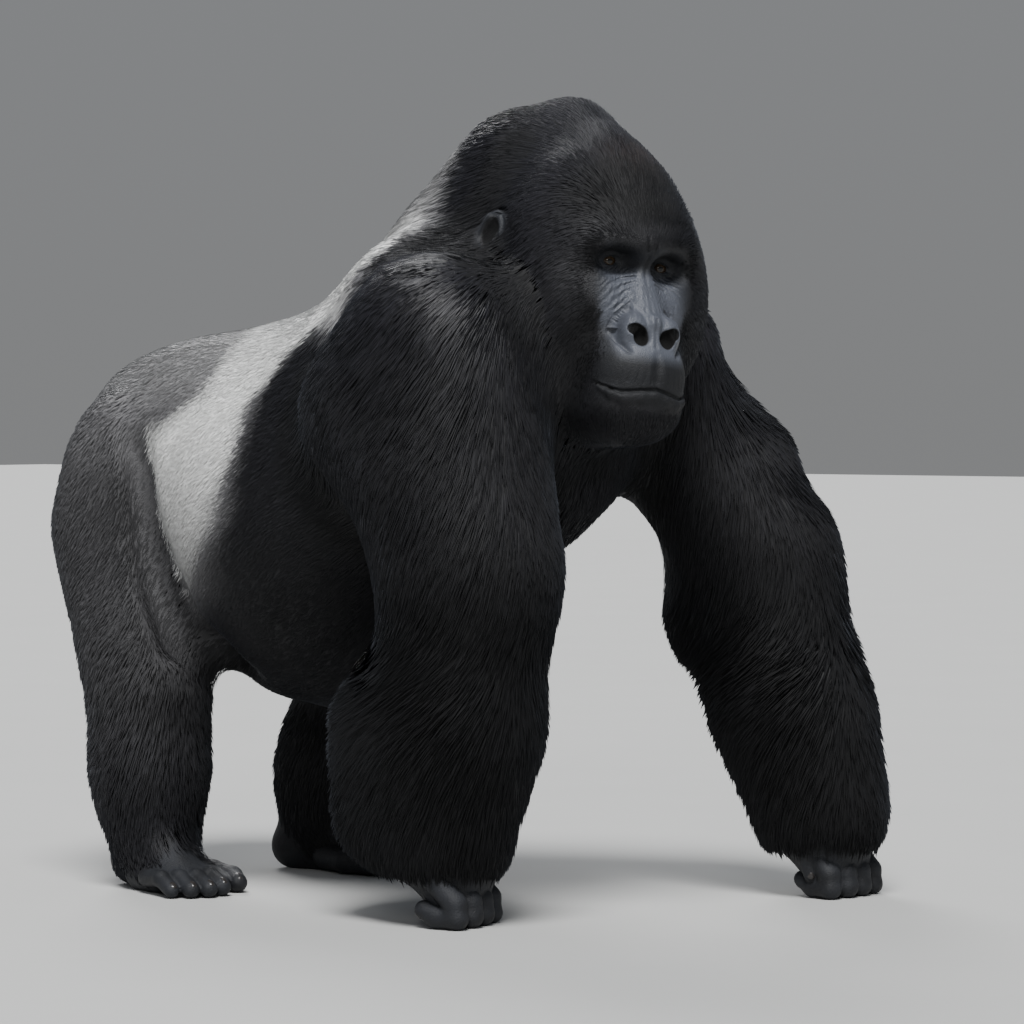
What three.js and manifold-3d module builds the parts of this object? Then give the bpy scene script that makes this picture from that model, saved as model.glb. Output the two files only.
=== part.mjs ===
// A silverback gorilla standing on its knuckles and soles, life size and still.
// Millimetres, +Z up. It faces -Y, and its own left side is at +X. The floor is at Z = 0.
//
// The outer form, coat included, is described by round masses that melt into each other: muscles, fat, bones
// and the fur over them. Each named part is a shell of rings: rays leave a straight axis inside the body and
// stop where they leave the form. Limb segments share the plane of their common joint, and what meets the
// trunk is trimmed by it with a small gap.
import * as THREE from "three";
import { mergeVertices } from "three/addons/utils/BufferGeometryUtils.js";
import Module from "manifold-3d";

const wasm = await Module();
wasm.setup();

// ---- Driving dimensions ---------------------------------------------------------------------------------

const GAP = 1; // free space between neighbouring parts
const FINEST = 0.5; // smaller steps than this are merged away
const REACH = 620; // longest ray from an axis to the surface
const CENTRE_SHIFT = [-31, -183, 0]; // brings the middle of the overall box over the origin

const SIDES = { right: -1, left: 1 };

// Joint centres, each as [outwards, back, up]; the sign of the side turns "outwards" into X.
const ARM = {
  right: { shoulder: [222, -62, 822], elbow: [276, -136, 428], wrist: [268, -92, 122], knuckle: [268, -108] },
  left: { shoulder: [216, -88, 800], elbow: [326, -208, 440], wrist: [354, -300, 118], knuckle: [358, -322] },
};
// How far the long coat hangs behind the elbow, the middle of the forearm and the wrist.
const FRINGE = { right: [22, 92, 98], left: [72, 6, -12] };
const GIRTH = { right: [138, 126], left: [96, 114] }; // upper arm below the shoulder and above the elbow
const TRICEPS = { right: [106, 66], left: [44, 50] }; // how far it stands back at the same two places
const LEG = {
  right: { hip: [116, 600, 640], knee: [186, 522, 340], ankle: [178, 556, 84], toeTurn: 18 },
  left: { hip: [116, 580, 640], knee: [172, 412, 340], ankle: [166, 508, 84], toeTurn: 16 },
};

const HEAD = { eyes: [-57, -264, 918], turn: -24, roll: 7 }; // midpoint of the pupils, and angles in degrees
const EYE = { radius: 15, apart: 41, depth: 13 };

// ---- Round masses: each returns the signed distance from a point to its surface --------------------------

const vec = ([x, y, z]) => new THREE.Vector3(x, y, z);
const mirror = (side, [out, back, up]) => vec([SIDES[side] * out, back, up]);

// An ellipsoid with half sizes [x, y, z], optionally turned by Euler angles in degrees.
function mass(centre, half, turn = [0, 0, 0]) {
  const [hx, hy, hz] = half;
  const radians = turn.map(THREE.MathUtils.degToRad);
  const turned = new THREE.Matrix4().makeRotationFromEuler(new THREE.Euler(...radians));
  const local = turned.setPosition(centre).invert();
  const q = new THREE.Vector3();
  return (p) => {
    q.copy(p).applyMatrix4(local);
    const near = Math.hypot(q.x / hx, q.y / hy, q.z / hz);
    const slope = Math.hypot(q.x / (hx * hx), q.y / (hy * hy), q.z / (hz * hz));
    return slope < 1e-9 ? -Math.min(hx, hy, hz) : (near * (near - 1)) / slope;
  };
}

// A muscle or bone from a to b, with a radius at each end.
function muscle(a, b, radiusA, radiusB) {
  const along = b.clone().sub(a);
  const lengthSq = along.lengthSq();
  const q = new THREE.Vector3();
  return (p) => {
    const t = THREE.MathUtils.clamp(q.copy(p).sub(a).dot(along) / lengthSq, 0, 1);
    return q.copy(along).multiplyScalar(t).add(a).distanceTo(p) - THREE.MathUtils.lerp(radiusA, radiusB, t);
  };
}

// Joins masses with a fillet of about k.
function melt(k, ...masses) {
  return (p) =>
    masses.reduce((d, m) => {
      const e = m(p);
      const h = Math.max(k - Math.abs(d - e), 0) / k;
      return Math.min(d, e) - (h * h * k) / 4;
    }, Infinity);
}

// Hollows a form with soft-edged dents.
function dent(k, form, ...hollows) {
  return (p) =>
    hollows.reduce((d, m) => {
      const e = -m(p);
      const h = Math.max(k - Math.abs(d - e), 0) / k;
      return Math.max(d, e) + (h * h * k) / 4;
    }, form(p));
}

const grow = (form, by) => (p) => form(p) - by;

// ---- Shells of rings -------------------------------------------------------------------------------------

// Distance from an inside point, along a ray, to where it leaves the form.
function exit(form, from, direction) {
  const p = new THREE.Vector3();
  const at = (t) => form(p.copy(direction).multiplyScalar(t).add(from));
  let inside = 0;
  let outside = 0;
  while (outside < REACH) {
    const d = at(outside);
    if (d > 0) break;
    inside = outside;
    outside += THREE.MathUtils.clamp(-d * 0.8, 1.5, 40);
  }
  for (let i = 0; i < 16; i++) {
    const middle = (inside + outside) / 2;
    if (at(middle) > 0) outside = middle;
    else inside = middle;
  }
  return inside;
}

// A station is {origin, aim, side, open}: aim is the axis direction there, side fixes where the ring starts,
// and open is the angle in degrees between the axis and the rays, 90 for a plain cross-section. The rays of a
// ring are a number of even steps, or a list of angles in degrees.
function shell(form, stations, rays) {
  const turns = Array.isArray(rays) ? rays : Array.from({ length: rays }, (_, i) => (360 * i) / rays);
  const segments = turns.length;
  const points = [];
  const rings = stations.map(({ origin, aim, side, open = 90 }) => {
    const n = aim.clone().normalize();
    const u = side.clone().addScaledVector(n, -side.dot(n)).normalize();
    const v = new THREE.Vector3().crossVectors(n, u);
    const tilt = THREE.MathUtils.degToRad(open);
    const count = open < 0.5 || open > 179.5 ? 1 : segments;
    const start = points.length;
    for (let s = 0; s < count; s++) {
      const angle = THREE.MathUtils.degToRad(turns[s]);
      const ray = n.clone().multiplyScalar(Math.cos(tilt));
      ray.addScaledVector(u, Math.sin(tilt) * Math.cos(angle));
      ray.addScaledVector(v, Math.sin(tilt) * Math.sin(angle));
      points.push(ray.multiplyScalar(exit(form, origin, ray)).add(origin));
    }
    return { start, count };
  });
  const faces = [];
  const pick = (ring, s) => ring.start + (ring.count === 1 ? 0 : s % ring.count);
  for (let r = 0; r + 1 < rings.length; r++) {
    for (let s = 0; s < segments; s++) {
      const [a, b] = [pick(rings[r], s), pick(rings[r], s + 1)];
      const [c, d] = [pick(rings[r + 1], s), pick(rings[r + 1], s + 1)];
      if (a !== b) faces.push([a, b, c]);
      if (c !== d) faces.push([b, d, c]);
    }
  }
  const flatEnd = (ring, station, flip) => {
    if (ring.count === 1) return;
    const hub = points.push(station.origin.clone()) - 1;
    for (let s = 0; s < segments; s++) {
      const [a, b] = [pick(ring, s), pick(ring, s + 1)];
      faces.push(flip ? [hub, b, a] : [hub, a, b]);
    }
  };
  flatEnd(rings[0], stations[0], true);
  flatEnd(rings.at(-1), stations.at(-1), false);
  return solid(points, faces);
}

function solid(points, faces) {
  const build = (list) => {
    const positions = new Float32Array(points.flatMap((p) => [p.x, p.y, p.z]));
    const geometry = new THREE.BufferGeometry();
    geometry.setAttribute("position", new THREE.BufferAttribute(positions, 3));
    geometry.setIndex(list.flat());
    return toManifold(geometry);
  };
  const made = build(faces);
  return made.volume() > 0 ? made : build(faces.map(([a, b, c]) => [a, c, b]));
}

function toManifold(geometry) {
  const bare = geometry.clone();
  bare.deleteAttribute("normal");
  bare.deleteAttribute("uv");
  const merged = mergeVertices(bare, 1e-3);
  const vertProperties = new Float32Array(merged.attributes.position.array);
  const triVerts = new Uint32Array(merged.index.array);
  return new wasm.Manifold(new wasm.Mesh({ numProp: 3, vertProperties, triVerts }));
}

function toGeometry(manifold) {
  const mesh = manifold.getMesh();
  const positions = new Float32Array(mesh.numVert * 3);
  for (let i = 0; i < mesh.numVert; i++) {
    for (let k = 0; k < 3; k++) positions[3 * i + k] = mesh.vertProperties[i * mesh.numProp + k];
  }
  const geometry = new THREE.BufferGeometry();
  geometry.setAttribute("position", new THREE.BufferAttribute(positions, 3));
  geometry.setIndex(new THREE.BufferAttribute(new Uint32Array(mesh.triVerts), 1));
  geometry.computeVertexNormals();
  return geometry;
}

// Stations spaced evenly between two ends, with the axis direction and the ring's origin turning gradually.
function between(from, to, count, side) {
  return Array.from({ length: count }, (_, i) => {
    const t = i / (count - 1);
    return {
      origin: from.at.clone().lerp(to.at, t),
      aim: from.aim.clone().normalize().lerp(to.aim.clone().normalize(), t),
      side,
    };
  });
}

// Stations that close an end: their rays fold from the cross-section, at 90 degrees, to the axis at `last`.
function dome(at, aim, side, steps, last) {
  return Array.from({ length: steps }, (_, i) => ({
    origin: at,
    aim,
    side,
    open: 90 + ((last - 90) * (i + 1)) / steps,
  }));
}

// The same stations for the end that a shell starts from.
const startDome = (at, aim, side, steps) => dome(at, aim, side, steps, 180).reverse();

// An end drawn back by the gap, so that the part beyond it doesn't touch.
const short = ({ at, aim }) => ({ at: at.clone().addScaledVector(aim.clone().normalize(), -GAP), aim });

// ---- Trunk -----------------------------------------------------------------------------------------------

const rump = melt(
  60,
  mass(vec([0, 600, 632]), [184, 172, 184]),
  mass(vec([-78, 618, 624]), [112, 134, 156]),
  mass(vec([78, 618, 624]), [112, 134, 156]),
  mass(vec([-88, 520, 728]), [84, 96, 88]),
  mass(vec([88, 520, 728]), [84, 96, 88]),
);
const abdomen = melt(
  80,
  mass(vec([0, 440, 626]), [212, 200, 176]),
  mass(vec([0, 314, 548]), [266, 274, 284]),
  mass(vec([0, 352, 680]), [196, 190, 160]),
);
const ribcage = melt(
  70,
  mass(vec([0, 130, 690]), [246, 236, 236]),
  mass(vec([0, -30, 700]), [186, 158, 196], [10, 0, 0]),
  mass(vec([0, 180, 764]), [200, 190, 134], [-30, 0, 0]),
);
const shoulderGirdle = melt(
  60,
  mass(vec([0, 76, 880]), [170, 150, 120], [-22, 0, 0]),
  muscle(vec([-190, -30, 820]), vec([170, -70, 815]), 104, 104),
  muscle(vec([-150, 60, 850]), vec([150, 40, 850]), 112, 112),
);
const trunk = melt(70, rump, abdomen, ribcage, shoulderGirdle);

// ---- Head, in its own axes: x to its left, y backwards, z up, origin between the pupils -------------------

const onBothSides = (make) => [make(-1), make(1)];
const point = (x, y, z) => new THREE.Vector3(x, y, z);

const skull = melt(
  50,
  mass(point(0, 118, 40), [112, 128, 104]),
  mass(point(0, 158, 92), [86, 132, 112], [-14, 0, 0]),
  mass(point(0, 238, 136), [86, 112, 124], [-8, 0, 0]),
  mass(point(0, 82, 76), [82, 88, 78]),
  ...onBothSides((s) => mass(point(66 * s, 128, 14), [74, 112, 116])),
  ...onBothSides((s) => mass(point(82 * s, 66, -62), [66, 84, 112])),
);
const jaw = melt(
  36,
  mass(point(0, 4, -202), [80, 88, 50]),
  mass(point(0, 66, -178), [114, 98, 78]),
  mass(point(0, -34, -196), [62, 54, 50]),
);
const muzzle = melt(
  26,
  mass(point(0, -12, -132), [70, 72, 50]),
  mass(point(0, -42, -152), [64, 53, 34]),
  muscle(point(0, 12, 4), point(0, -28, -80), 28, 37),
  ...onBothSides((s) => mass(point(50 * s, 6, -62), [34, 40, 50])),
);
const brow = melt(
  18,
  ...onBothSides((s) => muscle(point(10 * s, -27, 31), point(72 * s, 5, 27), 20, 23)),
  mass(point(0, 4, 50), [78, 44, 36]),
);
const nose = melt(
  7,
  ...onBothSides((s) => mass(point(28 * s, -53, -100), [26, 26, 31], [0, 0, -16 * s])),
  mass(point(0, -64, -84), [14, 17, 15]),
  muscle(point(0, -71, -90), point(0, -77, -124), 9, 8),
);
const sockets = onBothSides((s) => mass(point(43 * s, -24, -4), [27, 27, 18]));
const nostrils = onBothSides((s) => mass(point(20 * s, -82, -103), [14, 12, 14]));
const mouth = mass(point(0, -98, -178), [66, 42, 4]);
const earDips = onBothSides((s) => mass(point(172 * s, 162, 26), [42, 44, 52])); // the coat dips round each ear
const face = dent(14, melt(34, skull, jaw, melt(8, muzzle, nose), brow), ...sockets);
const headForm = dent(16, dent(8, face, ...nostrils, mouth), ...earDips);

const headFrame = new THREE.Matrix4()
  .makeRotationFromEuler(
    new THREE.Euler(
      0,
      THREE.MathUtils.degToRad(HEAD.roll),
      THREE.MathUtils.degToRad(HEAD.turn),
      "ZYX",
    ),
  )
  .setPosition(vec(HEAD.eyes));
const headToLocal = headFrame.clone().invert();
const headPoint = (x, y, z) => point(x, y, z).applyMatrix4(headFrame);
const headWay = (x, y, z) => point(x, y, z).transformDirection(headFrame);
const scratch = new THREE.Vector3();
const head = (p) => headForm(scratch.copy(p).applyMatrix4(headToLocal));

// The neck joins the skull's base to the withers, the throat and the top of the shoulders.
const neckMasses = melt(
  60,
  muscle(vec([44, -6, 1031]), vec([0, 150, 874]), 131, 110),
  muscle(headPoint(0, 130, 10), vec([0, 60, 880]), 126, 138),
  muscle(headPoint(0, 100, -110), vec([0, -20, 810]), 104, 130),
);
const besideEars = earDips.map((dip) => (p) => dip(scratch.copy(p).applyMatrix4(headToLocal)));
const neck = dent(16, neckMasses, ...besideEars);

// Level slices through the head, finer at the mouth, the nose and the eyes, and finer in front than behind.
const HEAD_LEVELS = [
  -240, -229, -214, -197, -184, -176, -168, -150, -132, -118, -106, -94,
  -80, -66, -48, -28, -13, -4, 6, 18, 34, 58, 94, 138,
];
const HEAD_RAYS = 28;
const FRONT_FOCUS = 0.62;

function makeHead(form) {
  const up = headWay(0, 0, 1);
  const side = headWay(0, -1, 0);
  const axis = (z) => headPoint(0, THREE.MathUtils.mapLinear(z, -240, 138, 40, 150), z);
  const rays = Array.from({ length: HEAD_RAYS }, (_, i) => {
    const t = (2 * i) / HEAD_RAYS - (2 * i > HEAD_RAYS ? 2 : 0);
    return 180 * (t * (1 - FRONT_FOCUS) + FRONT_FOCUS * t * t * t);
  });
  const [low, high] = [HEAD_LEVELS[0], HEAD_LEVELS.at(-1)];
  const stations = [
    ...startDome(axis(low), up, side, 2),
    ...HEAD_LEVELS.map((z) => ({ origin: axis(z), aim: up, side })),
    ...dome(axis(high), up, side, 4, 0),
  ];
  return shell(form, stations, rays);
}

const NECK_SEGMENTS = 18;

function makeNeck() {
  const from = { at: vec([-4, 90, 872]), aim: vec([0.2, -0.86, 0.46]) };
  const to = { at: vec([20, -60, 956]), aim: vec([0.2, -0.86, 0.46]) };
  const up = vec([0, 0, 1]);
  const stations = [
    ...startDome(from.at, from.aim, up, 3),
    ...between(from, to, 5, up),
    ...dome(to.at, to.aim, up, 6, 0),
  ];
  return shell(neck, stations, NECK_SEGMENTS);
}

// The trunk is one tube of rings along a straight axis. Its three parts share the planes between them.
const TAIL_END = vec([0, 640, 618]);
const CHEST_END = vec([0, 10, 770]);
const TRUNK_SEAMS = { pelvis: 0.25, belly: 0.66 };

function trunkStations() {
  const aim = CHEST_END.clone().sub(TAIL_END).normalize();
  const along = (t) => ({ at: TAIL_END.clone().lerp(CHEST_END, t), aim });
  const up = vec([0, 0, 1]);
  const { pelvis, belly } = TRUNK_SEAMS;
  return {
    pelvis: [...startDome(TAIL_END, aim, up, 4), ...between(along(0), short(along(pelvis)), 4, up)],
    belly: between(along(pelvis), short(along(belly)), 8, up),
    chest: [...between(along(belly), along(1), 6, up), ...dome(CHEST_END, aim, up, 4, 0)],
  };
}

const TRUNK_SEGMENTS = 26;
const makeTrunkPart = (name) => shell(trunk, trunkStations()[name], TRUNK_SEGMENTS);
const makeTrunkSpace = () => shell(grow(trunk, GAP), Object.values(trunkStations()).flat(), TRUNK_SEGMENTS);

// ---- Arms ------------------------------------------------------------------------------------------------

function armForm(side) {
  const a = ARM[side];
  const [shoulder, elbow, wrist] = [a.shoulder, a.elbow, a.wrist].map((p) => mirror(side, p));
  const middle = elbow.clone().lerp(wrist, 0.5);
  const low = elbow.clone().lerp(wrist, 0.9);
  const [atElbow, atMiddle, atWrist] = FRINGE[side];
  const [high, deep] = GIRTH[side];
  const [backHigh, backDeep] = TRICEPS[side];
  const off = (p, back, up = 0) => p.clone().add(vec([0, back, up]));
  return melt(
    40,
    mass(off(shoulder, 26, -12), [114, 148, 130]),
    muscle(off(shoulder, backHigh, -112), off(elbow, backDeep, 190), high, deep - 16),
    muscle(off(elbow, backDeep, 190), off(elbow, atElbow, -20), deep - 16, 84),
    muscle(off(shoulder, -14, -100), off(elbow, -14, 60), high - 10, deep),
    muscle(off(elbow, -8, 60), off(middle, -8), deep - 6, 116),
    muscle(off(elbow, atElbow, -50), off(middle, atMiddle), 78, 104),
    muscle(off(middle, atMiddle), off(low, atWrist), 104, 94),
    muscle(off(middle, -8), off(wrist, 0), 116, 102),
  );
}

const ARM_SEGMENTS = 18;
const LIMB_SEGMENTS = 20;

function makeArmParts(side) {
  const a = ARM[side];
  const [shoulder, elbow, wrist] = [a.shoulder, a.elbow, a.wrist].map((p) => mirror(side, p));
  const form = armForm(side);
  const back = vec([0, 1, 0]);
  const upper = elbow.clone().sub(shoulder).normalize();
  const lower = wrist.clone().sub(elbow).normalize();
  const bend = upper.clone().add(lower).normalize();
  const top = { at: shoulder, aim: upper };
  const joint = { at: elbow, aim: bend };
  const end = { at: wrist, aim: vec([0, 0, -1]) };
  const upperStations = [...startDome(shoulder, upper, back, 4), ...between(top, short(joint), 7, back)];
  return {
    upper: shell(form, upperStations, ARM_SEGMENTS),
    fore: shell(form, between(joint, short(end), 7, back), LIMB_SEGMENTS),
    form,
    end,
  };
}

// The hand stands on the backs of its middle finger bones, with the palm facing back and the thumb inside.
const HAND = { fingerRadius: 17.5, fingerPitch: 33, heading: { right: 8, left: -6 } };
const FINGERS = [-1.5, -0.5, 0.5, 1.5].map((place, i) => ({
  across: place * HAND.fingerPitch,
  reach: [0.9, 1, 0.97, 0.84][i],
  radius: HAND.fingerRadius * [0.98, 1.04, 1, 0.9][i],
}));

function chain(points, radii) {
  const bones = points.slice(1).map((p, i) => muscle(points[i], p, radii[i], radii[i + 1]));
  return melt(6, ...bones);
}

const DIGIT_SEGMENTS = 6;
const SOLE_SEGMENTS = 16;

// A round-ended tube along a bent line.
function digit(points, radii) {
  const form = chain(points, radii);
  const curve = new THREE.CatmullRomCurve3(points, false, "centripetal");
  const steps = points.length - 1;
  const side = vec([1, 0, 0.02]);
  const stations = Array.from({ length: steps + 1 }, (_, i) => ({
    origin: curve.getPoint(i / steps),
    aim: curve.getTangent(i / steps),
    side,
  }));
  const [first, last] = [stations[0], stations.at(-1)];
  const tip = dome(last.origin, last.aim, side, 2, 0);
  return shell(form, [...dome(first.origin, first.aim, side, 1, 180), ...stations, ...tip], DIGIT_SEGMENTS);
}

function makeHand(side, arm) {
  const s = SIDES[side];
  const a = ARM[side];
  const wrist = mirror(side, a.wrist);
  const knuckle = mirror(side, [...a.knuckle, 0]);
  const heading = THREE.MathUtils.degToRad(HAND.heading[side]);
  const across = vec([Math.cos(heading), Math.sin(heading), 0]);
  const front = vec([Math.sin(heading), -Math.cos(heading), 0]);
  const place = (x, forward, up) =>
    knuckle.clone().addScaledVector(across, x).addScaledVector(front, forward).setZ(up);
  const handBone = (x) => muscle(wrist.clone().addScaledVector(across, x * 0.5), place(x, 2, 64), 27, 20);
  const palm = melt(
    16,
    ...FINGERS.map((finger) => handBone(finger.across)),
    muscle(wrist, place(0, -10, 70), 44, 24),
    arm.form,
  );
  const back = vec([0, 1, 0]);
  const floorEnd = { at: place(0, -2, 66), aim: arm.end.aim };
  const palmStations = [...between(arm.end, floorEnd, 3, back), ...dome(floorEnd.at, floorEnd.aim, back, 2, 0)];
  const parts = [
    shell(palm, palmStations, SOLE_SEGMENTS),
    ...FINGERS.map(({ radius: r, reach, across: x }) => {
      const bent = [place(x, 34 * reach, 31), place(x, 37 * reach, 12)];
      const bones = [place(x, 0, 64), ...bent, place(x, 0, 12), place(x, -20, 26)];
      return digit(bones, [r * 1.1, r, r, r * 0.92, r * 0.78]);
    }),
    digit([place(-s * 52, -14, 86), place(-s * 66, -2, 60), place(-s * 64, 4, 36)], [17, 15, 12]),
  ];
  return parts.reduce((all, part) => all.add(part));
}

// ---- Legs ------------------------------------------------------------------------------------------------

const CALF = { right: 46, left: 6 }; // how far the calf and its coat stand behind the knee

function legForm(side) {
  const l = LEG[side];
  const [hip, knee, ankle] = [l.hip, l.knee, l.ankle].map((p) => mirror(side, p));
  const off = (p, by) => p.clone().add(mirror(side, by));
  const calf = CALF[side];
  return melt(
    44,
    mass(off(hip, [18, 2, -30]), [116, 130, 150]),
    muscle(off(hip, [22, 50, -110]), off(knee, [-2, calf + 14, 60]), 106, 92),
    muscle(hip, off(knee, [0, 10, 0]), 110, 82),
    muscle(knee, ankle.clone().lerp(knee, 0.4), 84, 82),
    muscle(off(knee, [0, calf, -10]), off(ankle, [0, 8, 60]), 80, 68),
    muscle(ankle.clone().lerp(knee, 0.4), off(ankle, [0, -16, 0]), 84, 74),
  );
}

function makeLegParts(side) {
  const l = LEG[side];
  const [hip, knee, ankle] = [l.hip, l.knee, l.ankle].map((p) => mirror(side, p));
  const form = legForm(side);
  const back = vec([0, 1, 0]);
  const upper = knee.clone().sub(hip).normalize();
  const lower = ankle.clone().sub(knee).normalize();
  const joint = { at: knee.clone().add(vec([0, 24, 0])), aim: upper.clone().add(lower).normalize() };
  const start = { at: hip.clone().add(vec([0, 10, -40])), aim: upper };
  const end = { at: ankle, aim: vec([0, 0, -1]) };
  return {
    thigh: shell(
      form,
      [...startDome(start.at, upper, back, 4), ...between(start, short(joint), 6, back)],
      LIMB_SEGMENTS,
    ),
    shin: shell(form, between(joint, short(end), 6, back), LIMB_SEGMENTS),
    form,
    end,
  };
}

const TOES = [
  { across: 46, start: -112, reach: 76, radius: 13 },
  { across: 25, start: -124, reach: 84, radius: 14 },
  { across: 2, start: -128, reach: 86, radius: 14.5 },
  { across: -22, start: -124, reach: 80, radius: 15 },
];

// The sole is flat on the floor, the heel stands back and the big toe leaves inwards like a thumb.
function makeFoot(side, leg) {
  const s = SIDES[side];
  const ankle = mirror(side, LEG[side].ankle);
  const turn = THREE.MathUtils.degToRad(LEG[side].toeTurn) * s;
  const outward = vec([s * Math.cos(turn), s * Math.sin(turn), 0]);
  const forward = vec([Math.sin(turn), -Math.cos(turn), 0]);
  const place = (out, ahead, up) =>
    ankle.clone().addScaledVector(outward, out).addScaledVector(forward, ahead).setZ(up);
  const sole = melt(
    22,
    muscle(place(0, -34, 30), place(8, 60, 34), 40, 42),
    muscle(place(0, 30, 42), place(6, 112, 34), 44, 35),
    muscle(place(-16, 60, 26), place(-18, 112, 22), 30, 25),
    muscle(place(24, 40, 26), place(28, 104, 20), 32, 24),
    leg.form,
  );
  const up = vec([0, 0, 1]);
  const rear = { at: place(0, -10, 42), aim: forward };
  const front = { at: place(4, 100, 28), aim: forward };
  const body = shell(
    sole,
    [
      ...startDome(rear.at, forward, up, 3),
      ...between(rear, front, 5, up),
      ...dome(front.at, forward, up, 2, 0),
    ],
    SOLE_SEGMENTS,
  );
  const toes = TOES.map(({ across: x, start, reach, radius: r }) => {
    const root = place(x, -start - 20, 26);
    const bend = place(x * 1.1, reach * 0.34 - start, 27);
    const tip = place(x * 1.12, reach * 0.74 - start, 14);
    return digit([root, bend, tip], [r * 1.25, r * 1.05, r * 0.92]);
  });
  const bigToe = digit(
    [place(-34, 40, 26), place(-66, 84, 24), place(-74, 128, 22), place(-66, 158, 15)],
    [24, 21, 18, 15],
  );
  const height = 1000;
  const block = new THREE.BoxGeometry(900, 900, height).translate(ankle.x, ankle.y, ankle.z + height / 2);
  const aboveAnkle = toManifold(block);
  return [...toes, bigToe].reduce((all, part) => all.add(part), body).subtract(aboveAnkle);
}

// ---- Ears and eyes ---------------------------------------------------------------------------------------

const EAR = { out: 145, back: 162, up: 27, half: [15, 25, 38] };

const EAR_SEGMENTS = 12;

function makeEar(side, by = 0) {
  const s = SIDES[side];
  const centre = point(s * EAR.out, EAR.back, EAR.up);
  const turn = [8, 0, -14 * s];
  const rim = mass(centre, EAR.half, turn);
  const bowl = mass(point(s * (EAR.out + 13), EAR.back - 9, EAR.up + 2), [11, 15, 26], turn);
  const local = dent(4, rim, bowl);
  const form = (p) => local(scratch.copy(p).applyMatrix4(headToLocal)) - by;
  const outward = headWay(s, 0, 0);
  const origin = headPoint(s * (EAR.out - 2), EAR.back + 2, EAR.up);
  const open = [0, 30, 50, 70, 90, 126, 180];
  const stations = open.map((angle) => ({ origin, aim: outward, side: headWay(0, 0, 1), open: angle }));
  return shell(form, stations, EAR_SEGMENTS);
}

const eyeCentre = (side) => headPoint(SIDES[side] * EYE.apart, EYE.depth, 0);

function makeEye(side, radius) {
  const centre = eyeCentre(side);
  const turned = new THREE.SphereGeometry(radius, 10, 7).rotateX(Math.PI / 2);
  return toManifold(turned.translate(centre.x, centre.y, centre.z));
}

// ---- Assembly --------------------------------------------------------------------------------------------

const LOOKS = {
  blackCoat: { color: 0x131316, roughness: 0.75 },
  silverCoat: { color: 0x77777a, roughness: 0.8 },
  greyCoat: { color: 0x2a2a2e, roughness: 0.8 },
  bareSkin: { color: 0x232427, roughness: 0.5 },
  eye: { color: 0x2a1a0c, roughness: 0.08 },
};

const model = new THREE.Group();

// Keeps the outer shell of the largest piece, so that a cut leaves no crumbs and a join no pockets.
const outerShell = (manifold) => manifold.decompose().reduce((a, b) => (b.volume() > a.volume() ? b : a));

function addPart(name, look, manifold) {
  const placed = toGeometry(outerShell(manifold)).translate(...CENTRE_SHIFT);
  const geometry = toGeometry(outerShell(toManifold(placed).simplify(FINEST)));
  const mesh = new THREE.Mesh(geometry, new THREE.MeshStandardMaterial({ ...LOOKS[look], metalness: 0 }));
  mesh.name = name;
  model.add(mesh);
}

const trim = (manifold, ...cutters) => cutters.reduce((left, cutter) => left.subtract(cutter), manifold);

const floor = toManifold(new THREE.BoxGeometry(4000, 4000, 400).translate(0, 0, -200));
const trunkSpace = makeTrunkSpace();

const eyes = Object.fromEntries(Object.keys(SIDES).map((side) => [side, makeEye(side, EYE.radius)]));
const eyeSpace = Object.keys(SIDES).map((side) => makeEye(side, EYE.radius + GAP));
const headSpace = makeHead(grow(head, GAP));
const earSpace = Object.keys(SIDES).map((side) => makeEar(side, 2 * GAP));
addPart("head", "bareSkin", trim(makeHead(head), trunkSpace, ...eyeSpace));
for (const side of Object.keys(SIDES)) {
  addPart(`eye_${side}`, "eye", eyes[side]);
  addPart(`ear_${side}`, "bareSkin", trim(makeEar(side), headSpace, trunkSpace));
}
addPart("neck", "blackCoat", trim(makeNeck(), headSpace, ...earSpace, trunkSpace));
addPart("chest", "blackCoat", makeTrunkPart("chest"));
addPart("belly", "silverCoat", makeTrunkPart("belly"));
addPart("pelvis", "greyCoat", makeTrunkPart("pelvis"));

for (const side of Object.keys(SIDES)) {
  const arm = makeArmParts(side);
  addPart(`upper_arm_${side}`, "blackCoat", trim(arm.upper, headSpace, trunkSpace));
  addPart(`forearm_${side}`, "blackCoat", trim(arm.fore, trunkSpace));
  addPart(`hand_${side}`, "bareSkin", trim(makeHand(side, arm), floor));
  const leg = makeLegParts(side);
  addPart(`thigh_${side}`, "greyCoat", trim(leg.thigh, trunkSpace));
  addPart(`shin_${side}`, "blackCoat", trim(leg.shin, trunkSpace));
  addPart(`foot_${side}`, "bareSkin", trim(makeFoot(side, leg), floor));
}

export default model;
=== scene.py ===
"""A life-size silverback gorilla on its knuckles and soles: skin, eyes, nails and a coat of tufts.

Metres, +Z up. The animal faces -Y and its own left side is at +X. The skin is grown from a copy of
the frame's flesh nodes, drawn in by the depth of the coat. Its head, hands and feet are shaped by round
masses that melt into each other. The coat is tufts whose tips reach the surface of the frame's nodes.
"""

import math

import bmesh
import bpy
import numpy as np
from mathutils import Euler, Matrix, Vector
from mathutils.bvhtree import BVHTree


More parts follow.
